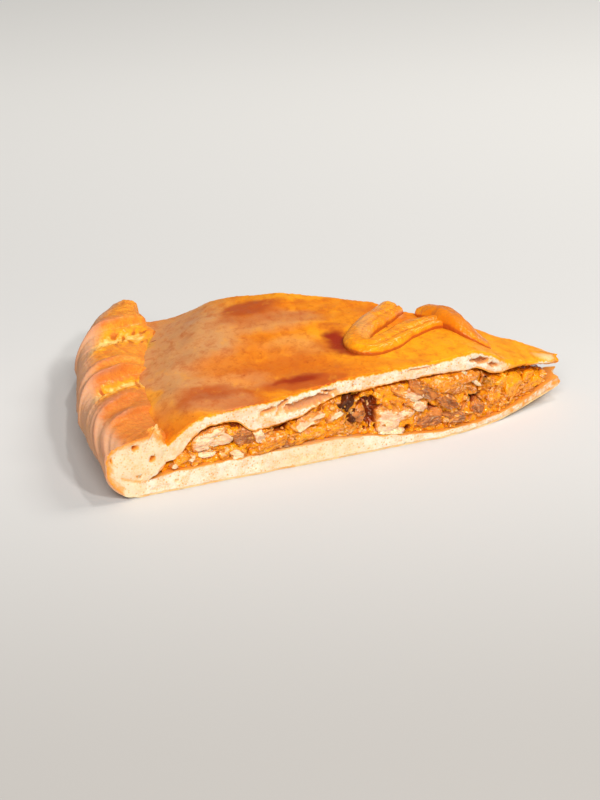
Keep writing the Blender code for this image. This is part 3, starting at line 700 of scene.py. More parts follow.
class Finish:
    """A material that is written as expressions."""

    def __init__(self, name):
        self.material = bpy.data.materials.new(name)
        self.material.use_nodes = True
        self.tree = self.material.node_tree
        self.shader = self.tree.nodes["Principled BSDF"]
        place = self.node("ShaderNodeTexCoord", {}, {}, "Object")
        self.spot = self.scaled(self.vector("SUBTRACT", place, PIE_CENTRE), 1.0 / MM)

    def node(self, kind, settings, values, output=0):
        """Add a node, fill its settings and sockets, and give one of its outputs."""
        made = self.tree.nodes.new(kind)
        for setting, value in settings.items():
            setattr(made, setting, value)
        for socket, value in values.items():
            if isinstance(value, Wire):
                self.tree.links.new(value.socket, made.inputs[socket])
            elif isinstance(made.inputs[socket].default_value, float):
                made.inputs[socket].default_value = value
            else:
                filled = len(made.inputs[socket].default_value)
                made.inputs[socket].default_value = (*value, 1.0)[:filled]
        return Wire(self, made.outputs[output])

    def vector(self, operation, first, second):
        """The result of a Vector Math node."""
        return self.node("ShaderNodeVectorMath", {"operation": operation},
                         {0: first, 1: second}, "Vector")

    def scaled(self, first, scale):
        """A vector times a number."""
        return self.node("ShaderNodeVectorMath", {"operation": "SCALE"},
                         {0: first, "Scale": scale}, "Vector")

    def length(self, first):
        """The length of a vector."""
        return self.node("ShaderNodeVectorMath", {"operation": "LENGTH"}, {0: first}, "Value")

    def field(self, scale, seed):
        """Where a pattern is looked up, in a part of it that depends on the seed."""
        return self.node("ShaderNodeMapping", {}, {
            "Vector": self.spot, "Scale": scale,
            "Location": [seed * share for share in SEED_SHIFT]}, "Vector")

    def noise(self, grain, detail=2.0, coarse=0.5, twist=0.0, seed=0.0, stretch=(1.0, 1.0, 1.0)):
        """Noise from 0 to 1 with features of about the grain's size."""
        scale = [1.0 / (grain * share) for share in stretch]
        return self.node("ShaderNodeTexNoise", {}, {
            "Vector": self.field(scale, seed), "Scale": 1.0, "Detail": detail,
            "Roughness": coarse, "Distortion": twist}, "Fac")

    def cells(self, grain, seed=0.0):
        """The distance to the nearest of scattered points that lie about a grain apart."""
        return self.node("ShaderNodeTexVoronoi", {"feature": "F1"}, {
            "Vector": self.field((1.0 / grain,) * 3, seed), "Scale": 1.0}, "Distance")

    def mark(self, name):
        """A mark that was left on the mesh."""
        return self.node("ShaderNodeAttribute", {"attribute_name": name}, {}, "Fac")

    def step(self, value, start, end):
        """Ease from 0 at the start to 1 at the end, either way round."""
        return self.node("ShaderNodeMapRange", {"interpolation_type": "SMOOTHSTEP"}, {
            "Value": value, "From Min": start, "From Max": end, "To Min": 0.0, "To Max": 1.0},
            "Result")

    def mix(self, share, first, second):
        """A colour between two colours."""
        return self.node("ShaderNodeMix", {"data_type": "RGBA"},
                         {0: share, 6: first, 7: second}, 2)

    def patch(self, across, deep, length, width, blur=0.35, wander=3.0):
        """A soft patch around a place in the pie's plan, its outline wandering."""
        drift = self.node("ShaderNodeTexNoise", {}, {
            "Vector": self.spot, "Scale": 0.35 / wander, "Detail": 2.0, "Roughness": 0.5}, "Color")
        drift = self.scaled(self.vector("SUBTRACT", drift, (0.5, 0.5, 0.5)), 3.0 * wander)
        spot = self.vector("ADD", self.spot, drift)
        spot = self.vector("SUBTRACT", spot, (across, deep, 0.0))
        spot = self.vector("MULTIPLY", spot, (1.0 / length, 1.0 / width, 0.0))
        return self.step(self.length(spot), 1.0 + blur, 1.0 - blur)

    def bump(self, height, size):
        """A normal for a height from 0 to 1 of a size in metres."""
        return self.node("ShaderNodeBump", {}, {"Height": height, "Distance": size,
                                                "Strength": 1.0}, "Normal")

    def close(self, color, roughness, normal, coat, constants):
        """Feed the shader. Constants go straight to its sockets."""
        for socket, value in (("Base Color", color), ("Roughness", roughness),
                              ("Coat Weight", coat), ("Normal", normal)):
            if isinstance(value, Wire):
                self.tree.links.new(value.socket, self.shader.inputs[socket])
            elif value is not None:
                self.shader.inputs[socket].default_value = value
        for socket, value in constants.items():
            self.shader.inputs[socket].default_value = value
        return self.material


SOFT_BREAD = {"Subsurface Weight": 0.25, "Subsurface Scale": 1.5 * MM,
              "Subsurface Radius": (1.0, 0.55, 0.25), "Specular IOR Level": 0.12,
              "Specular Tint": (1.0, 0.72, 0.42, 1.0), "Coat Roughness": 0.16}
WET_FOOD = {"Subsurface Weight": 0.35, "Subsurface Scale": 2.0 * MM,
            "Subsurface Radius": (1.0, 0.36, 0.14), "Specular IOR Level": 0.6,
            "Specular Tint": (1.0, 0.76, 0.5, 1.0), "Coat Roughness": 0.06}


def crumb_color(finish, crust, golden=0.45):
    """Cut bread: cream, with finer pores painted darker as painted shade, and more golden towards
    the rim.
    """
    cloudy = finish.noise(3.0, 3.0)
    fine = finish.noise(0.5, 3.0, seed=2.0)
    # Small pores painted darker and more golden, as painted shade.
    tiny = finish.step(finish.cells(1.1, 4.0), 0.34, 0.12)
    shade = finish.step(cloudy * 0.6 + fine * 0.6, 0.5, 0.85)
    color = finish.mix(shade * 0.8, crust.crumb, crust.crumb_shade)
    color = finish.mix(tiny * 0.8, color, crust.soaked)
    stain = finish.step(finish.noise(5.0, 4.0, 0.6, 0.3, 9.0) + fine * 0.3, 0.62, 0.82)
    color = finish.mix(stain * 0.35, color, crust.soaked)
    near_rim = finish.step(finish.length(finish.spot), 118.0, 150.0)
    return finish.mix(near_rim * golden, color, crust.crumb_shade)


def lid_finish(crust):
    """Glazed golden crust with its baked patches, a painted sheen and painted shade among them,
    and the crumb in its cuts, with painted shade in its holes.
    """
    finish = Finish("golden_lid")
    broad = finish.noise(16.0, 3.0, 0.55)
    mottle = finish.noise(2.6, 4.0, 0.6, 0.3, 1.0, (1.0, 1.7, 1.0))
    fine = finish.noise(0.8, 4.0, 0.6, 0.0, 2.0)
    cloudy = finish.noise(6.0, 3.0, 0.5, 0.4, 8.0, (1.0, 1.5, 1.0))
    color = finish.mix(finish.step(broad, 0.35, 0.65) * 0.55, crust.orange, crust.yellow)
    for oval in LID_BAKING:
        baked = finish.patch(*oval[:4]) * oval.strength
        color = finish.mix(baked, color, getattr(crust, oval.color))
    color = finish.mix(finish.step(cloudy, 0.5, 0.72) * 0.34, color, crust.brown)
    color = finish.mix(finish.step(mottle, 0.46, 0.70) * 0.36, color, crust.brown)
    color = finish.mix(finish.step(fine + (mottle - 0.5) * 0.6, 0.52, 0.68) * 0.22, color,
                       crust.brown)
    color = finish.mix(finish.step(mottle * 0.5 + cloudy * 0.5, 0.46, 0.34) * 0.3, color,
                       crust.yellow)
    for oval in LID_SCORCHES:
        wander = 0.7 if min(oval.length, oval.width) < 1.5 else 2.0
        scorched = finish.patch(*oval[:4], blur=0.55, wander=wander) * oval.strength
        color = finish.mix(scorched, color, getattr(crust, oval.color))
    specks = finish.step(finish.cells(5.2, 3.0), 0.075, 0.04)
    color = finish.mix(specks * 0.45, color, crust.burnt)
    pits = finish.step(finish.cells(1.1, 5.0), 0.24, 0.10) * finish.step(cloudy, 0.40, 0.6)
    color = finish.mix(pits * 0.3, color, crust.brown)
    for oval in LID_BARE_SPOTS:
        bare = finish.patch(*oval[:4], blur=0.55, wander=0.8) * oval.strength
        color = finish.mix(bare, color, getattr(crust, oval.color))
    skin_rough = 0.34 + 0.22 * mottle + 0.10 * fine

    cream = crumb_color(finish, crust)
    soak = finish.mark("soak")
    cream = finish.mix(finish.step(cloudy + (fine - 0.5) * 0.3, 0.48, 0.66) * 0.35, cream,
                       crust.soaked)
    cream = finish.mix(finish.step(soak + (fine - 0.5) * 0.8, 0.2, 0.9), cream, crust.soaked)
    # The cut's holes are painted darker as painted shade: orange, and mauve where they go deepest.
    dark = finish.mark("dark")
    cream = finish.mix(finish.step(dark, 0.1, 0.6) * 0.8, cream, crust.soaked)
    cream = finish.mix(finish.step(dark, 0.5, 1.3) * 0.6, cream, crust.mauve_sheen_and_shade)
    crumb = finish.mark("crumb") + (fine - 0.5) * 0.6
    color = finish.mix(finish.step(crumb, 0.16, 0.34) * 0.9, color, crust.yellow)
    bread = finish.step(crumb, 0.3, 0.85)
    color = finish.mix(bread, color, cream)
    roughness = skin_rough * (1.0 - bread) + 0.75 * bread
    coat = (1.0 - bread) * (0.05 + 0.25 * finish.step(mottle, 0.55, 0.35))
    height = fine * 0.5 + mottle * 0.5 + bread * finish.noise(0.35, 3.0, seed=6.0) * 1.2
    return finish.close(color, roughness, finish.bump(height - pits * 0.25, crust.grain), coat,
                        SOFT_BREAD)


def base_finish(crust):
    """Pale bread with a thin baked skin, soaked where it meets the filling, and painted shade in
    the holes of its cut.
    """
    finish = Finish("pale_base")
    mottle = finish.noise(4.0, 4.0, 0.6, 0.0, 1.0)
    fine = finish.noise(0.7, 4.0, 0.6, 0.0, 2.0)
    color = finish.mix(finish.step(mottle, 0.45, 0.75) * 0.8, crust.crumb_shade, crust.soaked)
    cream = crumb_color(finish, crust, 0.05)
    soak = finish.mark("soak")
    cream = finish.mix(finish.step(soak + (fine - 0.5) * 0.6 + mottle * 0.3, 0.45, 1.1), cream,
                       crust.soaked)
    cream = finish.mix(finish.patch(-92.0, -34.0, 16.0, 12.0) * 0.4, cream, crust.crumb_shade)
    # Painted shade in the cut's holes.
    cream = finish.mix(finish.step(finish.mark("dark"), 0.15, 0.9), cream, crust.crumb_shade)
    bread = finish.step(finish.mark("crumb") + (fine - 0.5) * 0.6, 0.25, 0.75)
    color = finish.mix(bread, color, cream)
    roughness = 0.5 + 0.3 * bread - 0.35 * finish.step(soak, 0.6, 1.0)
    height = fine * 0.6 + bread * finish.noise(0.35, 3.0, seed=6.0) * 1.6
    return finish.close(color, roughness, finish.bump(height, crust.grain), 0.0, SOFT_BREAD)


def rope_finish(crust):
    """Baked dough: washed yellow hollows with a painted highlight, mauve along the folds that is
    browning with a painted highlight, painted shade under the folds' edges and in the cut's holes,
    and dry and pale outside with a painted reflection.
    """
    finish = Finish("browned_rope")
    mottle = finish.noise(2.6, 5.0, 0.62, 0.5, 1.0)
    fine = finish.noise(0.6, 4.0, 0.6, 0.0, 2.0)
    uneven = mottle - 0.5
    outward = finish.mark("outward")
    color = finish.mix(finish.step(mottle, 0.34, 0.62) * 0.8, crust.orange, crust.yellow)
    color = finish.mix(0.1 + 0.25 * mottle, color, crust.tan)
    lobes = finish.patch(-147.0, -32.0, 16.0, 32.0, blur=0.4)
    color = finish.mix(lobes * (0.2 + 0.4 * finish.step(mottle, 0.6, 0.4)), color, crust.orange)
    color = finish.mix(lobes * 0.42, color, crust.brown)
    color = finish.mix(lobes * 0.2, color, crust.tan)
    speckle = finish.step(fine + uneven * 0.4, 0.48, 0.62)
    color = finish.mix(speckle * 0.34, color, crust.brown)
    wash = finish.mark("wash")
    color = finish.mix(finish.step(wash + uneven * 0.8, 0.15, 0.5) * 0.8, color, crust.yellow)
    color = finish.mix(finish.step(finish.mark("streak") + uneven * 0.8, 0.3, 0.9) * 0.75, color,
                       crust.brown)
    # The pooled wash turns pale: egg wash with a painted highlight.
    color = finish.mix(finish.step(wash + uneven * 1.6, 0.5, 1.0) * 0.85, color, crust.wash)
    color = finish.mix(finish.step(finish.mark("wall") + uneven * 0.4, 0.3, 0.8) * 0.8, color,
                       crust.olive)
    dry = finish.step(outward + uneven * 0.2, 0.30, 0.52)
    crest = finish.step(finish.mark("crest") + uneven * 0.5, 0.3, 1.0)
    # Mauve along the crests: browned edges with a painted highlight, most of all on the dry outer
    # side.
    color = finish.mix(crest * (0.05 + 0.6 * dry), color, crust.mauve_sheen_and_shade)
    # The outer flank: dry pale skin with a painted reflection of the bright surroundings.
    flank = finish.mix(finish.step(mottle, 0.45, 0.75) * 0.6, crust.flank, crust.tan)
    flank = finish.mix(crest * 0.35, flank, crust.mauve_sheen_and_shade)
    outside = finish.step(outward + uneven * 0.22, 0.53, 0.72)
    color = finish.mix(outside, color, flank)
    # Painted shade under the folds' steep edges: brown, and burnt where it is deepest.
    pit = finish.mark("pit") + uneven * 0.7
    color = finish.mix(finish.step(pit, 0.3, 0.85) * 0.8, color, crust.brown)
    color = finish.mix(finish.step(pit, 0.75, 1.2) * 0.8, color, crust.burnt)
    crumbly = finish.mark("knob") + (fine - 0.5) * 0.8
    color = finish.mix(finish.step(crumbly, 0.3, 0.7) * 0.9, color, crust.soaked)
    color = finish.mix(finish.step(crumbly, 0.75, 1.1) * 0.8, color, crust.crumb_shade)
    skin_rough = 0.34 + 0.18 * mottle + 0.22 * outside
    cream = crumb_color(finish, crust)
    # The dark mark: the cut end's browned rim and seam, and painted shade in its holes.
    dark = finish.mark("dark") + (fine - 0.5) * 0.3
    cream = finish.mix(finish.step(dark, 0.1, 0.6), cream, crust.soaked)
    cream = finish.mix(finish.step(dark, 0.65, 1.4), cream, crust.brown)
    bread = finish.step(finish.mark("crumb") + (fine - 0.5) * 0.6, 0.25, 0.75)
    color = finish.mix(bread, color, cream)
    roughness = skin_rough * (1.0 - bread) + 0.75 * bread
    coat = (1.0 - bread) * (1.0 - outside) * (0.04 + 0.4 * wash)
    height = fine * 0.9 + mottle * 0.8 + bread * finish.noise(0.35, 3.0, seed=6.0) * 1.6
    return finish.close(color, roughness, finish.bump(height, crust.grain), coat, SOFT_BREAD)


def strip_finish(crust):
    """Shiny dough strips, with painted shade in their creases and along their feet."""
    finish = Finish("glazed_strip")
    mottle = finish.noise(3.0, 4.0, 0.6, 0.3, 1.0)
    fine = finish.noise(0.7, 3.0, 0.6, 0.0, 2.0)
    color = finish.mix(finish.step(mottle, 0.3, 0.65) * 0.7, crust.yellow, crust.orange)
    color = finish.mix(finish.patch(-73.0, 6.5, 3.0, 13.0) * 0.6, color, crust.tan)
    color = finish.mix(finish.patch(-43.0, 10.0, 10.0, 12.0) * 0.8, color, crust.orange)
    # The pit mark is painted shade in the creases and along the feet.
    low = finish.mark("pit")
    color = finish.mix(finish.step(low + (mottle - 0.5) * 0.4, 0.15, 0.6) * 0.9, color,
                       crust.brown)
    color = finish.mix(finish.step(low + (mottle - 0.5) * 0.3, 0.8, 1.1) * 0.7, color,
                       crust.burnt)
    bread = finish.step(finish.mark("crumb") + (fine - 0.5) * 0.5, 0.3, 0.7)
    color = finish.mix(bread, color, crumb_color(finish, crust))
    roughness = 0.07 + 0.08 * mottle + 0.5 * bread
    height = fine * 1.0 + mottle * 0.8 + finish.noise(0.9, 1.5, 0.4, 0.3, 6.0) * 2.2
    glazed = {**SOFT_BREAD, "Specular IOR Level": 0.32}
    return finish.close(color, roughness, finish.bump(height, crust.grain), 0.0, glazed)


def sauce_finish(filling):
    """Thick glossy sauce, with painted shade where it lies deep and painted highlights on its
    ripples.
    """
    finish = Finish("orange_sauce")
    cloudy = finish.noise(3.0, 3.0, 0.5, 0.8, 1.0)
    fine = finish.noise(0.6, 3.0, 0.5, 0.0, 2.0)
    ripples = finish.noise(1.0, 1.5, 0.4, 0.6, 5.0)
    deep = finish.mark("deep") + (cloudy - 0.5) * 0.4
    color = finish.mix(finish.step(cloudy, 0.5, 0.75) * 0.6, filling.sauce, filling.deep_sauce_and_shade)
    # Painted shade where the sauce lies deep, near black in the deepest hollows.
    color = finish.mix(finish.step(deep, 0.15, 0.6), color, filling.deep_sauce_and_shade)
    color = finish.mix(finish.step(deep, 0.75, 1.15) * 0.7, color, filling.skin)
    # Painted highlights on the ripples' tops.
    color = finish.mix(finish.step(ripples, 0.60, 0.74) * 0.45, color, filling.fat_and_highlight)
    normal = finish.bump(ripples + fine * 0.2, 0.5 * MM)
    return finish.close(color, 0.10 + 0.12 * fine, normal, 0.2, WET_FOOD)


def fibre_noise(finish, grain, length, seed):
    """Noise that is drawn out along a chunk's fibres."""
    where = finish.node("ShaderNodeCombineXYZ", {}, {
        "X": finish.mark("run") * (1.0 / (grain * length)),
        "Y": finish.mark("rise") * (1.0 / grain),
        "Z": finish.mark("into") * (0.6 / grain) + seed}, "Vector")
    return finish.node("ShaderNodeTexNoise", {}, {
        "Vector": where, "Scale": 1.0, "Detail": 4.0, "Roughness": 0.6, "Distortion": 0.7}, "Fac")


def meat_finish(name, color, shade, filling, sauce_share, shine):
    """Meat with fibres, bare where it was cut and coated with sauce elsewhere, with painted
    highlights and shade on the sauce's ripples and painted shade where it lies deep.
    """
    finish = Finish(name)
    fibres = fibre_noise(finish, 0.6, 5.0, 0.0)
    strands = fibre_noise(finish, 1.5, 3.0, 7.0)
    cloudy = finish.noise(1.8, 4.0, 0.6, 0.5, 2.0)
    fine = finish.noise(0.4, 3.0, seed=3.0)
    ripples = finish.noise(1.0, 1.5, 0.4, 0.6, 5.0)
    color = finish.mix(finish.step(fibres * 0.7 + strands * 0.5, 0.5, 0.7) * 0.85, color, shade)
    bare = finish.mark("cut")
    sauced = finish.step(cloudy + (fibres - 0.5) * 0.9 + (strands - 0.5) * 0.5 + sauce_share
                         - bare * 0.48, 0.28, 0.48)
    glaze = finish.mix(finish.step(strands + (fine - 0.5) * 0.4, 0.45, 0.68) * 0.3, filling.sauce,
                       filling.brown_meat)
    drifts = finish.noise(2.8, 2.0, 0.5, 0.5, 9.0)
    glaze = finish.mix(finish.step(drifts, 0.46, 0.66) * 0.5, glaze, filling.deep_sauce_and_shade)
    regions = finish.noise(8.0, 2.0, 0.5, 0.5, 11.0)
    glaze = finish.mix(finish.step(regions, 0.46, 0.62) * 0.3, glaze, filling.deep_sauce_and_shade)
    # Painted highlights on the ripples' tops and painted shade in their troughs.
    glaze = finish.mix(finish.step(ripples, 0.56, 0.66) * 0.55, glaze, filling.fat_and_highlight)
    glaze = finish.mix(finish.step(ripples, 0.44, 0.32) * 0.4, glaze, filling.deep_sauce_and_shade)
    color = finish.mix(sauced * 0.9, color, glaze)
    # Pale streaks along the fibres: pale fibres with a painted highlight.
    color = finish.mix(finish.step(fibres, 0.54, 0.68) * (1.0 - 0.6 * sauced) * 0.45, color,
                       filling.fat_and_highlight)
    # Painted shade where the chunk lies deep behind the cut.
    deep = finish.mark("deep") + (cloudy - 0.5) * 0.3
    color = finish.mix(finish.step(deep, 0.12, 0.6) * 0.9, color, filling.deep_sauce_and_shade)
    roughness = 0.28 - 0.18 * sauced + 0.10 * fine
    height = (fibres + strands) * (1.0 - 0.5 * sauced)
    height = height + ripples * (0.4 + 0.7 * sauced) + fine * 0.2
    return finish.close(color, roughness, finish.bump(height, 0.42 * MM),
                        shine * 0.2 * sauced, WET_FOOD)


def smooth_finish(name, color, tint, shade, clear, shine):
    """Fat, onion or pepper: smooth, wet and a little clear, with painted shade in its ripples'
    troughs and where it lies deep.
    """
    finish = Finish(name)
    cloudy = finish.noise(2.6, 3.0, 0.5, 0.4, 1.0)
    fine = finish.noise(0.5, 3.0, seed=3.0)
    ripples = finish.noise(1.0, 1.5, 0.4, 0.6, 5.0)
    color = finish.mix(finish.step(cloudy, 0.4, 0.75) * 0.8, color, tint)
    # Painted shade in the ripples' troughs and where the piece lies deep.
    color = finish.mix(finish.step(ripples, 0.46, 0.32) * 0.4, color, shade)
    deep = finish.mark("deep") + (cloudy - 0.5) * 0.3
    color = finish.mix(finish.step(deep, 0.2, 0.7) * 0.8, color, shade)
    wet = {**WET_FOOD, "Subsurface Weight": clear, "Specular IOR Level": shine}
    normal = finish.bump(ripples + fine * 0.2, 0.4 * MM)
    return finish.close(color, 0.10 + 0.12 * fine, normal, 0.2 * shine, wet)


def floor_finish(stage):
    """A pale floor with painted light: darker before the slice and a little brighter far behind
    it.
    """
    finish = Finish("pale_floor")
    apart = finish.node("ShaderNodeSeparateXYZ", {}, {0: finish.spot}, "Y")
    color = finish.mix(finish.step(apart, -230.0, 40.0), stage.floor_near_shaded, stage.floor_mid)
    color = finish.mix(finish.step(apart, 60.0, 420.0), color, stage.floor_far_lit)
    return finish.close(color, 0.6, None, 0.0, {"Specular IOR Level": 0.2})


# ---------------------------------------------------------------- crusts

def base_place(wobble):
    """The base's place function for a wobble of the knife."""
    def place(u, v, w):
        front, back = in_cuts(v)
        side = crowd(v, CUT_CROWDING)
        # The rim's end rises in a curve to a lip under the rope. The point's end is torn.
        away = behind_cuts(side)
        lip = ROPE_RADIUS + rope_half_width(side) - 1.6 - 3.0 * away
        outer = blend(ROPE_RADIUS - 1.0 - 3.0 * away, lip, math.sin(w * math.pi / 2.0) ** 0.8)
        torn = 1.4 * rough(TIP_RADIUS, side, w * 4.0, 2.2) * (1.0 - smoothstep(u / 0.04))
        radius = blend(TIP_RADIUS + 0.6 + torn, outer, u)
        level = crowd(w, FACE_CROWDING)
        under, top = along(BASE_UNDER, radius), along(BASE_TOP, radius)
        height = blend(under, top + 0.2 * rough(radius, side, 3.0, 3.0), level)
        crumb = soak = dark = 0.0
        # The cuts show crumb that is dented and full of pores between its two skins.
        if front or back:
            seed = 2.0 if front else 6.0
            dent = wobble * rough(radius, 0.0, height, 6.0, seed)
            inner = math.sin(math.pi * level) ** 0.4
            hole = hole_depth(BASE_HOLES, radius, height) if front else 0.0
            dent += inner * (crumb_dent(radius, height, seed, 1.0) + hole)
            dent += 0.5 * smoothstep((radius - 153.0 + height) / 3.0)
            side = pushed_in(side, dent, radius, front)
            skin = min(height - under, (lip + 3.0 - radius) * 0.8)
            crumb = smoothstep((skin - 0.1) / 0.9)
            seep = 0.7 + 1.1 * rough(radius, 0.0, 7.0, 3.0, seed)
            soak = smoothstep(1.0 - (top - height) / max(seep, 0.25))
            soak *= smoothstep((150.0 - radius) / 6.0)
            soak = max(soak, smoothstep((46.0 - radius) / 16.0)
                       * (0.65 + 0.6 * rough(radius, 0.0, height, 1.6, seed)))
            # The dark mark is the holes' depth, which the material turns into painted shade.
            dark = hole
        elif w > 1.0 - END:
            crumb = soak = smoothstep((152.0 - radius) / 4.0)
        elif u < END:
            crumb = soak = 0.7
        return pie_point(radius, side, height), (crumb, soak, dark)
    return place


def lid_place(wobble):
    """The lid's place function for a wobble of the knife."""
    def place(u, v, w):
        front, back = in_cuts(v)
        side = crowd(v, CUT_CROWDING)
        tuck = 2.6 + 1.6 * smoothstep(side * 6.0 - 5.0)
        inner_flank = ROPE_RADIUS - rope_half_width(side) + tuck
        torn = 1.3 * rough(TIP_RADIUS, side, w * 3.0, 2.0, 4.0) * (1.0 - smoothstep(u / 0.05))
        radius = blend(TIP_RADIUS + 0.4 + torn, inner_flank, u)
        level = crowd(w, FACE_CROWDING)
        # Its edges draw back from the cuts, most of all at the point.
        waist = math.sin(math.pi * level)
        inset = 0.5 * (1.0 - waist ** 0.4) * (0.6 + rough(radius, 0.0, 1.0, 1.2))
        inset += 1.3 * (1.0 - waist) * smoothstep((36.0 - radius) / 8.0)
        inset += 1.6 * smoothstep((16.5 - radius) / 4.0)
        inset /= radius * SLICE_ANGLE
        side = blend(inset, 1.0 - inset, side)
        under, top = lid_under(radius, side), lid_top(radius, side)
        height = blend(under, top, level)
        crumb = soak = dark = 0.0
        # The cuts show crumb that turns golden below the glaze and is soaked over the filling.
        if front or back:
            seed = 1.0 if front else 7.0
            dent = wobble * (rough(radius, 0.0, height, 5.0, seed)
                             + 0.5 * rough(radius, 0.0, height, 1.5, seed))
            dent *= waist ** 0.3
            hole = hole_depth(LID_HOLES, radius, height) if front else 0.0
            dent += waist ** 0.4 * (crumb_dent(radius, height, seed, 1.0) + hole)
            dent += 0.5 * smoothstep((radius - 145.2) / 1.2)
            side = pushed_in(side, dent, radius, front)
            ragged = 0.35 * rough(radius, 0.0, 9.0, 2.3) + 0.45 * rough(radius, 0.0, height, 0.7)
            crumb = smoothstep((top - height - 0.1 + ragged) / 1.4)
            bready = max(smoothstep((radius - 28.0) / 14.0), 0.8 * hump(radius - 19.0, 4.0))
            crumb *= 0.3 + 0.7 * bready
            seep = 0.9 + 0.9 * rough(radius, 0.0, 7.0, 3.0, seed)
            soak = smoothstep(1.0 - (height - under) / max(seep, 0.3))
            soak *= smoothstep((146.0 - radius) / 8.0)
            # The dark mark is the holes' depth, which the material turns into painted shade.
            dark = hole / 1.5
        elif w < END:
            crumb = soak = 1.0
        elif u < END:
            crumb = 0.3
        return pie_point(radius, side, height), (crumb, soak, dark)
    return place


def rope_skin(turn, outward, angle):
    """The relief of the rope's skin at a place, with its marks."""
    relief, crest, wash, pit = fold_relief(turn, outward)
    top = smoothstep(outward / 0.15) * (1.0 - smoothstep((outward - 0.55) / 0.3))
    swept = turn + 12.0 * outward ** FOLD_CURVE
    bent = outward + 0.03 * ripple(turn * 0.8, outward * 4.0, 1.0)
    pinches = ripple(turn * 0.4, bent * 24.0, 4.0)
    bowl = min(1.0, 1.6 * wash)
    creases = ripple(swept * 1.3, outward * 3.0, 8.0)
    fine = ripple(turn * 2.6, angle * 7.0, 2.0)
    wash *= max(0.0, 1.0 + 0.8 * pinches) * smoothstep((outward - 0.12) / 0.1)
    relief += top * (pinches * (0.06 + 0.35 * bowl) + 0.25 * creases + 0.15 * fine)
    relief += 0.22 * creases * (1.0 - top) + 0.06 * fine
    behind_cut = turn + math.degrees(SLICE_ANGLE) / 2.0
    knob = hump(outward - 0.30, 0.10) * smoothstep(1.3 - behind_cut / 2.2)
    relief += knob * (2.2 + 2.2 * ripple(turn * 4.0, angle * 7.0, 3.0))
    wall = (1.0 - smoothstep((outward - 0.08) / 0.12)) * hump(turn - 11.5, 3.6)
    streak = top * bowl * smoothstep(-3.0 * pinches - 0.2)
    return relief, (crest, wash, pit, wall, streak, knob)


def rope_outline(angle, side, relief):
    """The radius and the height of the rope's outline at an angle round its middle.

    The rope is cut square, but bulges towards the lid and is rounder underneath behind the cuts.
    """
    low = angle < 0.0
    turn = math.degrees((side - 0.5) * SLICE_ANGLE)
    far = smoothstep((turn - FAR_LOBE[0]) / (FAR_LOBE[1] - FAR_LOBE[0]))
    square = ROPE_ROUNDNESS if low and math.cos(angle) > 0.0 else ROPE_SQUARENESS
    power = 2.0 / blend(square, 1.7, 0.0 if low else far)
    across = math.copysign(abs(math.cos(angle)) ** power, math.cos(angle))
    up = math.copysign(abs(math.sin(angle)) ** power, math.sin(angle))
    away = behind_cuts(side)
    tall = ROPE_HALF_HEIGHT + ROPE_RISE * side
    wide = rope_half_width(side)
    if low:
        wrap = smoothstep((across + 0.55) / 0.5)
        tall = blend(ROPE_HALF_HEIGHT, ROPE_HEIGHT - ROPE_FOOT - ROPE_LIFT * away, wrap)
        if across > 0.0:
            across *= 1.0 - ROPE_UNDERCUT * away * math.sin(-angle) * math.cos(angle) ** 0.5
    elif across < 0.0:
        spread = blend(ROPE_BULGE * away, -FAR_LOBE_DRAW, far)
        wide += spread * (1.0 - math.sin(angle) ** 8) * abs(math.cos(angle)) ** (2.0 - 1.5 * far)
    lean = 0.8 if across > 0.0 else 0.25
    radius = ROPE_RADIUS + across * wide + math.cos(angle) * relief * lean
    return radius, ROPE_HEIGHT + up * tall + math.sin(angle) * relief


def rope_place(wobble):
    """The rope's place function: a flattened roll whose folds stand out where it shows."""
    def place(u, v, w):
        middle, angle = to_disc(u, v)
        middle = math.sin(middle * math.pi / 2.0) ** 0.9
        outward = 1.0 - angle / math.pi
        if angle < -math.pi / 2.0:
            outward = 0.0
        # The folds fade where the roll lies on the base or against the lid.
        outer = math.cos(angle) > 0.0
        showing = smoothstep((math.sin(angle) + (0.95 if outer else 0.25)) / 0.5)
        turn = math.degrees((w - 0.5) * SLICE_ANGLE)
        relief, shown = rope_skin(turn, outward, angle)
        rim_radius, rim_height = rope_outline(angle, w, relief * showing)
        radius = blend(ROPE_RADIUS, rim_radius, middle)
        height = blend(ROPE_HEIGHT, rim_height, middle)
        crumb = dark = 0.0
        side = w
        # Its cut ends show crumb inside a browned rim, and a seam where the dough was rolled.
        front, back = in_cuts(w)
        if front or back:
            bare = smoothstep((math.sin(angle) + 0.95) / 0.15 if outer
                              else (math.sin(angle) - 0.3) / 0.25)
            seam = hump(height - along(SEAM, radius), 0.6) * smoothstep((159.5 - radius) / 2.0)
            hole = hole_depth(ROPE_HOLES, radius, height) if front else 0.0
            dent = crumb_dent(radius, height, 2.0 if front else 6.0, 1.0) + hole + 0.45 * seam
            dent *= max(smoothstep((1.0 - middle) / 0.05), 1.0 - bare)
            dent += wobble * rough(radius, 0.0, height, 6.0, 2.0 if front else 6.0)
            side = pushed_in(side, dent, radius, front)
            ragged = 0.04 * ripple(radius, 3.0, height, 0.8)
            crumb = max(smoothstep((0.975 + ragged - middle) / 0.05), 1.0 - bare)
            rim = smoothstep((middle - 0.58 + 2.5 * ragged) / 0.4)
            rim += 0.5 * smoothstep((middle - 0.93 + ragged) / 0.05)
            # The dark mark is the browned rim and the seam, and the holes' depth for painted
            # shade.
            dark = max(hole, 0.45 * seam, 0.55 * rim * bare)
        shown = [mark * showing for mark in shown]
        return pie_point(radius, side, height), (crumb, dark, min(outward, 1.3), *shown)
    return place


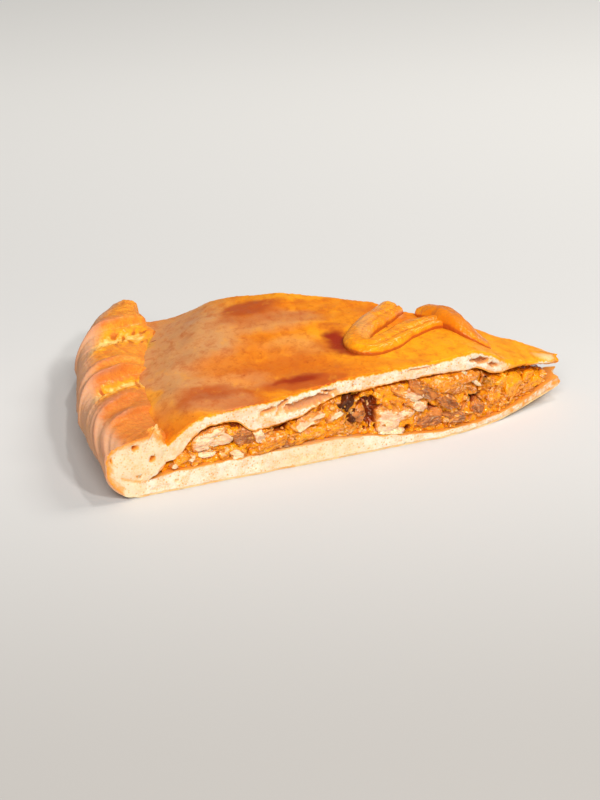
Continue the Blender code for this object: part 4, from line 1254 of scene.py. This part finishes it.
class PIE_OT_base_crust(bpy.types.Operator):
    """Make the pale base with its cut crumb"""
    bl_idname = "pie.base_crust"
    bl_label = "Base Crust"

    def execute(self, context):
        crust = context.scene.pie_crust
        shape = slab(BASE_CELLS, CRUMB_MARKS)
        mould(shape, shape.verts, base_place(crust.wobble / MM))
        add_piece("base_crust_baked", shape, base_finish(crust), "pale_crust", "base_crust")
        return {"FINISHED"}


class PIE_OT_lid_crust(bpy.types.Operator):
    """Make the golden lid with its cut edge"""
    bl_idname = "pie.lid_crust"
    bl_label = "Lid Crust"

    def execute(self, context):
        crust = context.scene.pie_crust
        shape = slab(LID_CELLS, CRUMB_MARKS)
        mould(shape, shape.verts, lid_place(crust.wobble / MM))
        add_piece("lid_crust_baked", shape, lid_finish(crust), "golden_crust", "lid_crust")
        return {"FINISHED"}


class PIE_OT_rope_rim(bpy.types.Operator):
    """Make the roped edge with its folds"""
    bl_idname = "pie.rope_rim"
    bl_label = "Rope Rim"

    def execute(self, context):
        crust = context.scene.pie_crust
        shape = slab(ROPE_CELLS, ROPE_MARKS)
        mould(shape, shape.verts, rope_place(crust.wobble / MM))
        add_piece("rope_rim_baked", shape, rope_finish(crust), "browned_crust", "rope_rim")
        return {"FINISHED"}


# ---------------------------------------------------------------- dough strips

def strip_place(route, widths, heights, groove, seed):
    """The place function of a dough strip that lies on the lid, creased along its middle."""
    def place(u, v, w):
        middle, angle = to_disc(u, v)
        taper = smoothstep(min(w, 1.0 - w) / 0.04 + 0.55)
        spot = route_point(route, w)
        ahead = route_point(route, min(w + 0.01, 1.0))
        behind = route_point(route, max(w - 0.01, 0.0))
        forward = (ahead - behind).normalized()
        sideways = Vector((-forward.y, forward.x))
        wave = 1.0 + 0.10 * ripple(w * 9.0, seed, 0.0)
        across = math.copysign(abs(math.cos(angle)) ** 0.8, math.cos(angle)) * middle
        flat = spot + sideways * across * along(widths, w) * taper * wave
        radius, side = pie_place(flat.x, flat.y)
        side = min(max(side, 0.0), 1.0)
        crest = max(math.sin(angle), 0.0) ** 0.72 * middle
        drift = 0.3 * ripple(w * 6.0, seed + 4.0, 0.0)
        turned = smoothstep((w - 0.4) / 0.12)
        crease = hump(across - 0.4 - drift, 0.15) * (1.0 - turned)
        crease = groove * crest * (crease + hump(across + 0.35 - drift, 0.15) * turned)
        lean = 0.92 + 0.10 * across
        lump = 1.0 + 0.10 * ripple(w * 5.0, seed + 9.0, across * 2.0)
        lump += 0.07 * ripple(w * 9.0, seed + 5.0, across * 6.0)
        rise = (crest * lump * lean - crease) * along(heights, w) * taper
        level = lid_top(radius, side) + (rise if math.sin(angle) > 0.0 else 0.0) - 0.35
        end = min(w, 1.0 - w) < END
        crumb = smoothstep((0.9 - middle) / 0.15) if end else 0.0
        # Painted shade in the crease and along the strip's feet, where it lies low on the lid.
        pit = max(smoothstep(crease / 0.3), 1.0 - smoothstep(crest / 0.7))
        return pie_point(radius, side, level), (crumb, pit)
    return place


class PIE_OT_strips(bpy.types.Operator):
    """Make the two dough strips on the lid"""
    bl_idname = "pie.strips"
    bl_label = "Dough Strips"

    def execute(self, context):
        material = strip_finish(context.scene.pie_crust)
        for name, cells, route, widths, heights, groove in (
                ("strip_hairpin", HAIRPIN_CELLS, HAIRPIN_ROUTE, HAIRPIN_WIDTH, HAIRPIN_HEIGHT,
                 HAIRPIN_GROOVE),
                ("strip_twist", TWIST_CELLS, TWIST_ROUTE, TWIST_WIDTH, TWIST_HEIGHT,
                 TWIST_GROOVE)):
            shape = slab(cells, STRIP_MARKS)
            place = strip_place(route, widths, heights, groove, len(route) * 1.7)
            mould(shape, shape.verts, place)
            add_piece(name + "_baked", shape, material, "glazed_dough", name)
        return {"FINISHED"}


# ---------------------------------------------------------------- filling

def filling_room(radius, side):
    """The lowest and highest that filling may reach between base and lid."""
    lift = 1.2 * smoothstep((34.0 - radius) / 8.0)
    return along(BASE_TOP, radius) + 0.1, lid_under(radius, side) - 0.1 - lift


def core_depth(recess, radius, height, back):
    """How far behind its cut the sauce lies."""
    seed = 40.0 if back else 0.0
    spot = Vector((radius, seed, height))
    depth = recess + 1.1 * noise.noise(spot / 2.4) + 0.5 * noise.noise(spot / 0.9)
    if not back:
        depth += hole_depth(FILLING_HOLLOWS, radius, height)
    return max(depth, 0.3)


def core_place(recess):
    """The place function of the sauce that holds the filling's pieces."""
    def place(u, v, w):
        radius = blend(*FILLING_RADII, u)
        front, back = in_cuts(v)
        side = crowd(v, 0.6)
        low, high = filling_room(radius, side)
        gap = 1.6 + 1.2 * rough(radius, side, 0.0, 4.0, 9.0)
        headroom = gap * (1.0 - math.sin(math.pi * side) ** 0.5)
        height = blend(low, max(high - max(headroom, 0.1), low + 1.0), w)
        reach = recess / (radius * SLICE_ANGLE)
        side = blend(reach, 1.0 - reach, side)
        deep = 0.3
        if front or back:
            depth = core_depth(recess, radius, height, back)
            side = side_of(depth, radius, back)
            # The deep mark: how far the sauce lies behind its cut, for painted shade.
            deep = smoothstep((depth - recess + 0.6) / 4.0)
        return pie_point(radius, side, height), (deep,)
    return place


def add_chunk(shape, chunk, kind, back, seed):
    """Add one chunk to a bmesh, with its cut face towards the cut and its top sloping back."""
    turn = math.radians(chunk.lean)
    dice = random.Random(seed)
    shift = Vector((seed * 3.7, seed * 1.3, seed * 0.7))
    set_back = dice.uniform(-0.6, 0.6)
    swing = dice.uniform(-0.16, 0.16)
    slope = dice.uniform(0.7, 1.2)
    made = bmesh.ops.create_icosphere(shape, subdivisions=CHUNK_DETAIL, radius=1.0)

    def place(x, y, z):
        ball = Vector((x, y, z))
        box = ball / max(abs(x), abs(y), abs(z))
        lumps = noise.noise(ball * 1.2 + shift) * kind.lumpy
        lumps += noise.noise(ball * 3.5 + shift) * kind.lumpy * 0.35
        spot = ball.lerp(box, kind.boxy) * (1.0 + lumps)
        ahead, behind, above = spot.x * chunk.length, spot.y * kind.depth, spot.z * chunk.tall
        grooves = noise.noise(Vector((ahead * 0.22, behind * 1.3, above * 1.7)) + shift)
        fine = noise.noise(Vector((ahead * 0.5, behind * 3.0, above * 4.0)) + shift)
        above += kind.fibrous * grooves
        here = chunk.radius - ahead * math.cos(turn) - above * math.sin(turn)
        level = chunk.height - ahead * math.sin(turn) + above * math.cos(turn)
        here = min(max(here, FILLING_RADII[0] - 2.5), FILLING_RADII[1] + 1.5)
        deep = kind.depth * 0.75 + behind
        over = max(above - chunk.shoulder * chunk.tall, 0.0)
        waves = noise.noise(Vector((ahead * 0.35, 3.0, above * 0.5)) + shift)
        surface = set_back + swing * ahead + slope * over + kind.fibrous * (grooves + 0.5 * fine)
        surface += 0.8 * waves
        cut = smoothstep((surface + 0.5 - deep) / 0.5) * (1.0 - smoothstep(over / 0.7))
        deep = max(deep, surface + 0.3 * noise.noise(spot * 2.0 + shift))
        side = side_of(deep, here, back)
        low, high = filling_room(here, min(max(side, 0.0), 1.0))
        level = min(max(level, low), high)
        # Painted shade on the chunk's sides, darker the deeper they lie behind the cut.
        shade = smoothstep((deep - 0.4) / 2.9)
        return pie_point(here, side, level), (cut, shade, ahead + shift.x, above + shift.y, behind)

    mould(shape, made["verts"], place)


def back_chunks(dice, share):
    """Seeded chunks for the back cut, as many as the share says."""
    chunks = []
    radius, last = BACK_CHUNK_RADII
    while radius > last:
        low, high = filling_room(radius, 1.0)
        if dice.random() < share:
            tall = (high - low) * dice.uniform(0.18, 0.38)
            height = dice.uniform(low + tall * 0.7, max(high - tall, low + tall * 0.8))
            chunks.append(Chunk(radius, height, dice.uniform(2.0, 5.6), tall,
                                dice.uniform(-30.0, 30.0), dice.uniform(0.1, 0.6)))
        radius -= dice.uniform(3.0, 6.0)
    return chunks


def add_kind(kind, material, seed):
    """Make one kind of chunk for both cuts."""
    shape = marked_shape(CHUNK_MARKS)
    dice = random.Random(seed)
    for index, chunk in enumerate(kind.chunks):
        add_chunk(shape, chunk, kind, False, seed + index)
    for index, chunk in enumerate(back_chunks(dice, kind.share)):
        add_chunk(shape, chunk, kind, True, seed + CUT_SEEDS + index)
    return add_piece(kind.name, shape, material, "meat_filling", "filling")


class PIE_OT_sauce(bpy.types.Operator):
    """Make the sauce that holds the filling together"""
    bl_idname = "pie.sauce"
    bl_label = "Sauce"

    def execute(self, context):
        filling = context.scene.pie_filling
        shape = slab(SAUCE_CELLS, SAUCE_MARKS)
        mould(shape, shape.verts, core_place(filling.recess / MM))
        add_piece("sauce_core", shape, sauce_finish(filling), "meat_filling", "filling")
        return {"FINISHED"}


class PIE_OT_chunks(bpy.types.Operator):
    """Make the meat, fat, onion and pepper that show in the cuts"""
    bl_idname = "pie.chunks"
    bl_label = "Meat and Vegetables"

    def execute(self, context):
        filling = context.scene.pie_filling
        deep = filling.deep_sauce_and_shade
        materials = (
            meat_finish("pale_meat", filling.pale_meat, filling.meat_shade, filling, 0.12, 0.5),
            meat_finish("browned_meat", filling.brown_meat, filling.brown_shade, filling,
                        -0.08, 0.7),
            meat_finish("saucy_meat", filling.sauce, deep, filling, 0.35, 0.9),
            smooth_finish("fat_and_onion", filling.fat_and_highlight, filling.pale_meat, deep, 0.5, 0.6),
            smooth_finish("orange_pepper", filling.pepper, filling.sauce, deep, 0.35, 0.6),
            smooth_finish("dark_skin", filling.skin, filling.brown_shade, filling.skin, 0.0, 0.3))
        for index, (kind, material) in enumerate(zip(KINDS, materials)):
            add_kind(kind, material, filling.seed + KIND_SEEDS * index)
        return {"FINISHED"}


def add_grain(shape, dice, recess, back):
    """Add one small grain to the sauce of a cut."""
    radius = dice.uniform(*GRAIN_RADII)
    low, high = filling_room(radius, 0.0)
    height = dice.uniform(low + 0.3, max(high - 1.2, low + 0.5))
    depth = core_depth(recess, radius, height, back)
    size = dice.uniform(0.25, 0.8)
    stretch = dice.uniform(0.7, 1.6)
    shift = Vector((dice.random(), dice.random(), dice.random())) * 50.0
    made = bmesh.ops.create_icosphere(shape, subdivisions=2, radius=1.0)

    def place(x, y, z):
        lump = 1.0 + 0.45 * noise.noise(Vector((x, y, z)) * 1.5 + shift)
        here = radius - x * size * stretch * lump
        side = side_of(max(depth - 0.1 + y * size * lump, -0.3), here, back)
        level = min(max(height + z * size * lump, low), high)
        return pie_point(here, side, level), (0.4, 0.1, x * size, z * size, y * size)

    mould(shape, made["verts"], place)


class PIE_OT_grains(bpy.types.Operator):
    """Scatter small grains over the sauce"""
    bl_idname = "pie.grains"
    bl_label = "Grains"

    def execute(self, context):
        filling = context.scene.pie_filling
        material = meat_finish("sauce_grains", filling.sauce, filling.fat_and_highlight, filling, 0.1, 0.8)
        shape = marked_shape(CHUNK_MARKS)
        dice = random.Random(filling.seed + 21)
        for back in (False, True):
            for _ in range(filling.grains):
                add_grain(shape, dice, filling.recess / MM, back)
        add_piece("sauce_grains", shape, material, "meat_filling", "filling")
        return {"FINISHED"}


def add_shred(shape, dice, recess, back):
    """Add one thin shred of meat that winds over the sauce of a cut."""
    radius = dice.choice((dice.uniform(22.0, 60.0), dice.uniform(26.0, 137.0)))
    low, high = filling_room(radius, 0.0)
    height = dice.uniform(low + 0.6, max(high - 1.6, low + 0.8))
    lean = math.radians(dice.uniform(-60.0, 60.0))
    length = dice.uniform(2.0, 6.0)
    thick = dice.uniform(0.16, 0.42)
    bend = dice.uniform(-0.8, 0.8)
    seed = dice.uniform(0.0, 90.0)
    made = bmesh.ops.create_circle(shape, cap_ends=True, segments=6, radius=1.0)["verts"]
    faces = list({face for corner in made for face in corner.link_faces})
    corners = list(made)
    for _ in range(SHRED_STEPS):
        edges = list({edge for face in faces for edge in face.edges})
        grown = bmesh.ops.extrude_face_region(shape, geom=faces + edges)["geom"]
        moved = [item for item in grown if isinstance(item, bmesh.types.BMVert)]
        faces = [item for item in grown if isinstance(item, bmesh.types.BMFace)]
        bmesh.ops.translate(shape, verts=moved, vec=(0.0, 0.0, 1.0))
        corners += moved

    def place(x, y, z):
        share = z / SHRED_STEPS
        swell = thick * (0.35 + math.sin(math.pi * min(max(share, 0.06), 0.94)))
        run = (share - 0.5) * length
        rise = bend * math.sin(math.pi * share) + 0.3 * ripple(share * 4, seed, 0)
        here = radius - run * math.cos(lean) + rise * math.sin(lean) + x * swell * math.sin(lean)
        level = height + run * math.sin(lean) + rise * math.cos(lean) + x * swell * math.cos(lean)
        here = min(max(here, SHRED_RADII[0]), SHRED_RADII[1])
        depth = core_depth(recess, here, level, back) - 0.35 + y * swell
        depth -= 0.5 * math.sin(math.pi * share)
        low_here, high_here = filling_room(here, 0.0)
        level = min(max(level, low_here), high_here)
        spot = pie_point(here, side_of(max(depth, -0.5), here, back), level)
        return spot, (0.7, 0.1, run, x * swell + seed, y * swell)

    mould(shape, corners, place)


class PIE_OT_shreds(bpy.types.Operator):
    """Lay thin shreds of meat over the sauce"""
    bl_idname = "pie.shreds"
    bl_label = "Shreds"

    def execute(self, context):
        filling = context.scene.pie_filling
        material = meat_finish("meat_shreds", filling.brown_meat, filling.sauce, filling, 0.2, 0.6)
        shape = marked_shape(CHUNK_MARKS)
        dice = random.Random(filling.seed + 33)
        for back in (False, True):
            for _ in range(filling.shreds):
                add_shred(shape, dice, filling.recess / MM, back)
        add_piece("meat_shreds", shape, material, "meat_filling", "filling")
        return {"FINISHED"}


# ---------------------------------------------------------------- stage

WARM_WHITE = (1.0, 0.98, 0.95)
SOFT_WHITE = (1.0, 0.99, 0.98)
WHITE = (1.0, 1.0, 1.0)


def add_light(name, place, size, power, color):
    """Add a soft square light that looks at the slice."""
    light = bpy.data.lights.new(name, "AREA")
    light.shape = "SQUARE"
    light.size = size
    light.energy = power
    light.color = color
    lamp = bpy.data.objects.new(name, light)
    bpy.context.scene.collection.objects.link(lamp)
    lamp.location = place
    lamp.rotation_euler = (-Vector(place)).to_track_quat("-Z", "Y").to_euler()
    return lamp


def add_floor(stage):
    """Lay the floor under the slice."""
    ground = bmesh.new()
    bmesh.ops.create_grid(ground, x_segments=8, y_segments=8, size=FLOOR_HALF)
    mesh = bpy.data.meshes.new("floor")
    ground.to_mesh(mesh)
    ground.free()
    mesh.materials.append(floor_finish(stage))
    floor = bpy.data.objects.new("floor", mesh)
    bpy.context.scene.collection.objects.link(floor)


def add_sky(stage):
    """Surround the slice with an even pale light."""
    world = bpy.data.worlds.new("studio")
    world.use_nodes = True
    surroundings = world.node_tree.nodes["Background"]
    surroundings.inputs["Color"].default_value = (*stage.sky_color, 1.0)
    surroundings.inputs["Strength"].default_value = stage.sky
    bpy.context.scene.world = world


def add_camera(stage):
    """Point a camera at the slice from the stage's angles."""
    camera = bpy.data.cameras.new("camera")
    camera.lens = stage.lens
    camera.sensor_width = 36.0
    camera.clip_start = 0.01
    eye = bpy.data.objects.new("camera", camera)
    bpy.context.scene.collection.objects.link(eye)
    turn, look_down = stage.azimuth, stage.elevation
    back = Vector((math.sin(turn) * math.cos(look_down),
                   -math.cos(turn) * math.cos(look_down), math.sin(look_down)))
    right = (-back).cross(Vector((0.0, 0.0, 1.0))).normalized()
    above = right.cross(-back)
    tilted_right = right * math.cos(stage.roll) + above * math.sin(stage.roll)
    tilted_up = above * math.cos(stage.roll) - right * math.sin(stage.roll)
    view = Matrix((tilted_right, tilted_up, back)).transposed().to_4x4()
    view.translation = PIE_CENTRE + VIEW_TARGET * MM + back * stage.distance
    eye.matrix_world = view
    bpy.context.scene.camera = eye


class PIE_OT_stage(bpy.types.Operator):
    """Set up the floor, the lights and the camera"""
    bl_idname = "pie.stage"
    bl_label = "Stage"

    def execute(self, context):
        stage = context.scene.pie_stage
        context.scene.view_settings.view_transform = "Standard"
        add_floor(stage)
        add_light("key_light", (0.75, 0.30, 0.85), 0.45, stage.key_power, WARM_WHITE)
        add_light("fill_light", (-0.2, -0.98, 0.72), 0.6, stage.fill_power, SOFT_WHITE)
        add_light("glint_light", (0.35, -0.8, 0.72), 0.12, stage.glint_power, WHITE)
        add_light("spark_light", (0.2, 0.1, 1.1), 0.07, stage.spark_power, WHITE)
        add_sky(stage)
        add_camera(stage)
        return {"FINISHED"}


# ---------------------------------------------------------------- add-on

class PIE_PT_pieces(bpy.types.Panel):
    """Lists the slice's pieces"""
    bl_idname = "PIE_PT_pieces"
    bl_label = "Pie Slice"
    bl_space_type = "VIEW_3D"
    bl_region_type = "UI"
    bl_category = "Pie Slice"

    def draw(self, context):
        for operator in PIECE_OPERATORS:
            self.layout.operator(operator.bl_idname)
        for group in (context.scene.pie_crust, context.scene.pie_filling,
                      context.scene.pie_stage):
            box = self.layout.box()
            for name in group.__annotations__:
                box.prop(group, name)


PIECE_OPERATORS = (PIE_OT_base_crust, PIE_OT_lid_crust, PIE_OT_rope_rim, PIE_OT_strips,
                   PIE_OT_sauce, PIE_OT_chunks, PIE_OT_grains, PIE_OT_shreds, PIE_OT_stage)
CLASSES = (PIE_PG_crust, PIE_PG_filling, PIE_PG_stage, *PIECE_OPERATORS, PIE_PT_pieces)


def register():
    for cls in CLASSES:
        bpy.utils.register_class(cls)
    bpy.types.Scene.pie_crust = PointerProperty(type=PIE_PG_crust)
    bpy.types.Scene.pie_filling = PointerProperty(type=PIE_PG_filling)
    bpy.types.Scene.pie_stage = PointerProperty(type=PIE_PG_stage)


def unregister():
    del bpy.types.Scene.pie_stage
    del bpy.types.Scene.pie_filling
    del bpy.types.Scene.pie_crust
    for cls in reversed(CLASSES):
        bpy.utils.unregister_class(cls)


def main():
    """Register the add-on, then make every piece and the stage."""
    register()
    bpy.ops.pie.base_crust()
    bpy.ops.pie.lid_crust()
    bpy.ops.pie.rope_rim()
    bpy.ops.pie.strips()
    bpy.ops.pie.sauce()
    bpy.ops.pie.chunks()
    bpy.ops.pie.grains()
    bpy.ops.pie.shreds()
    bpy.ops.pie.stage()


if __name__ == "__main__":
    main()
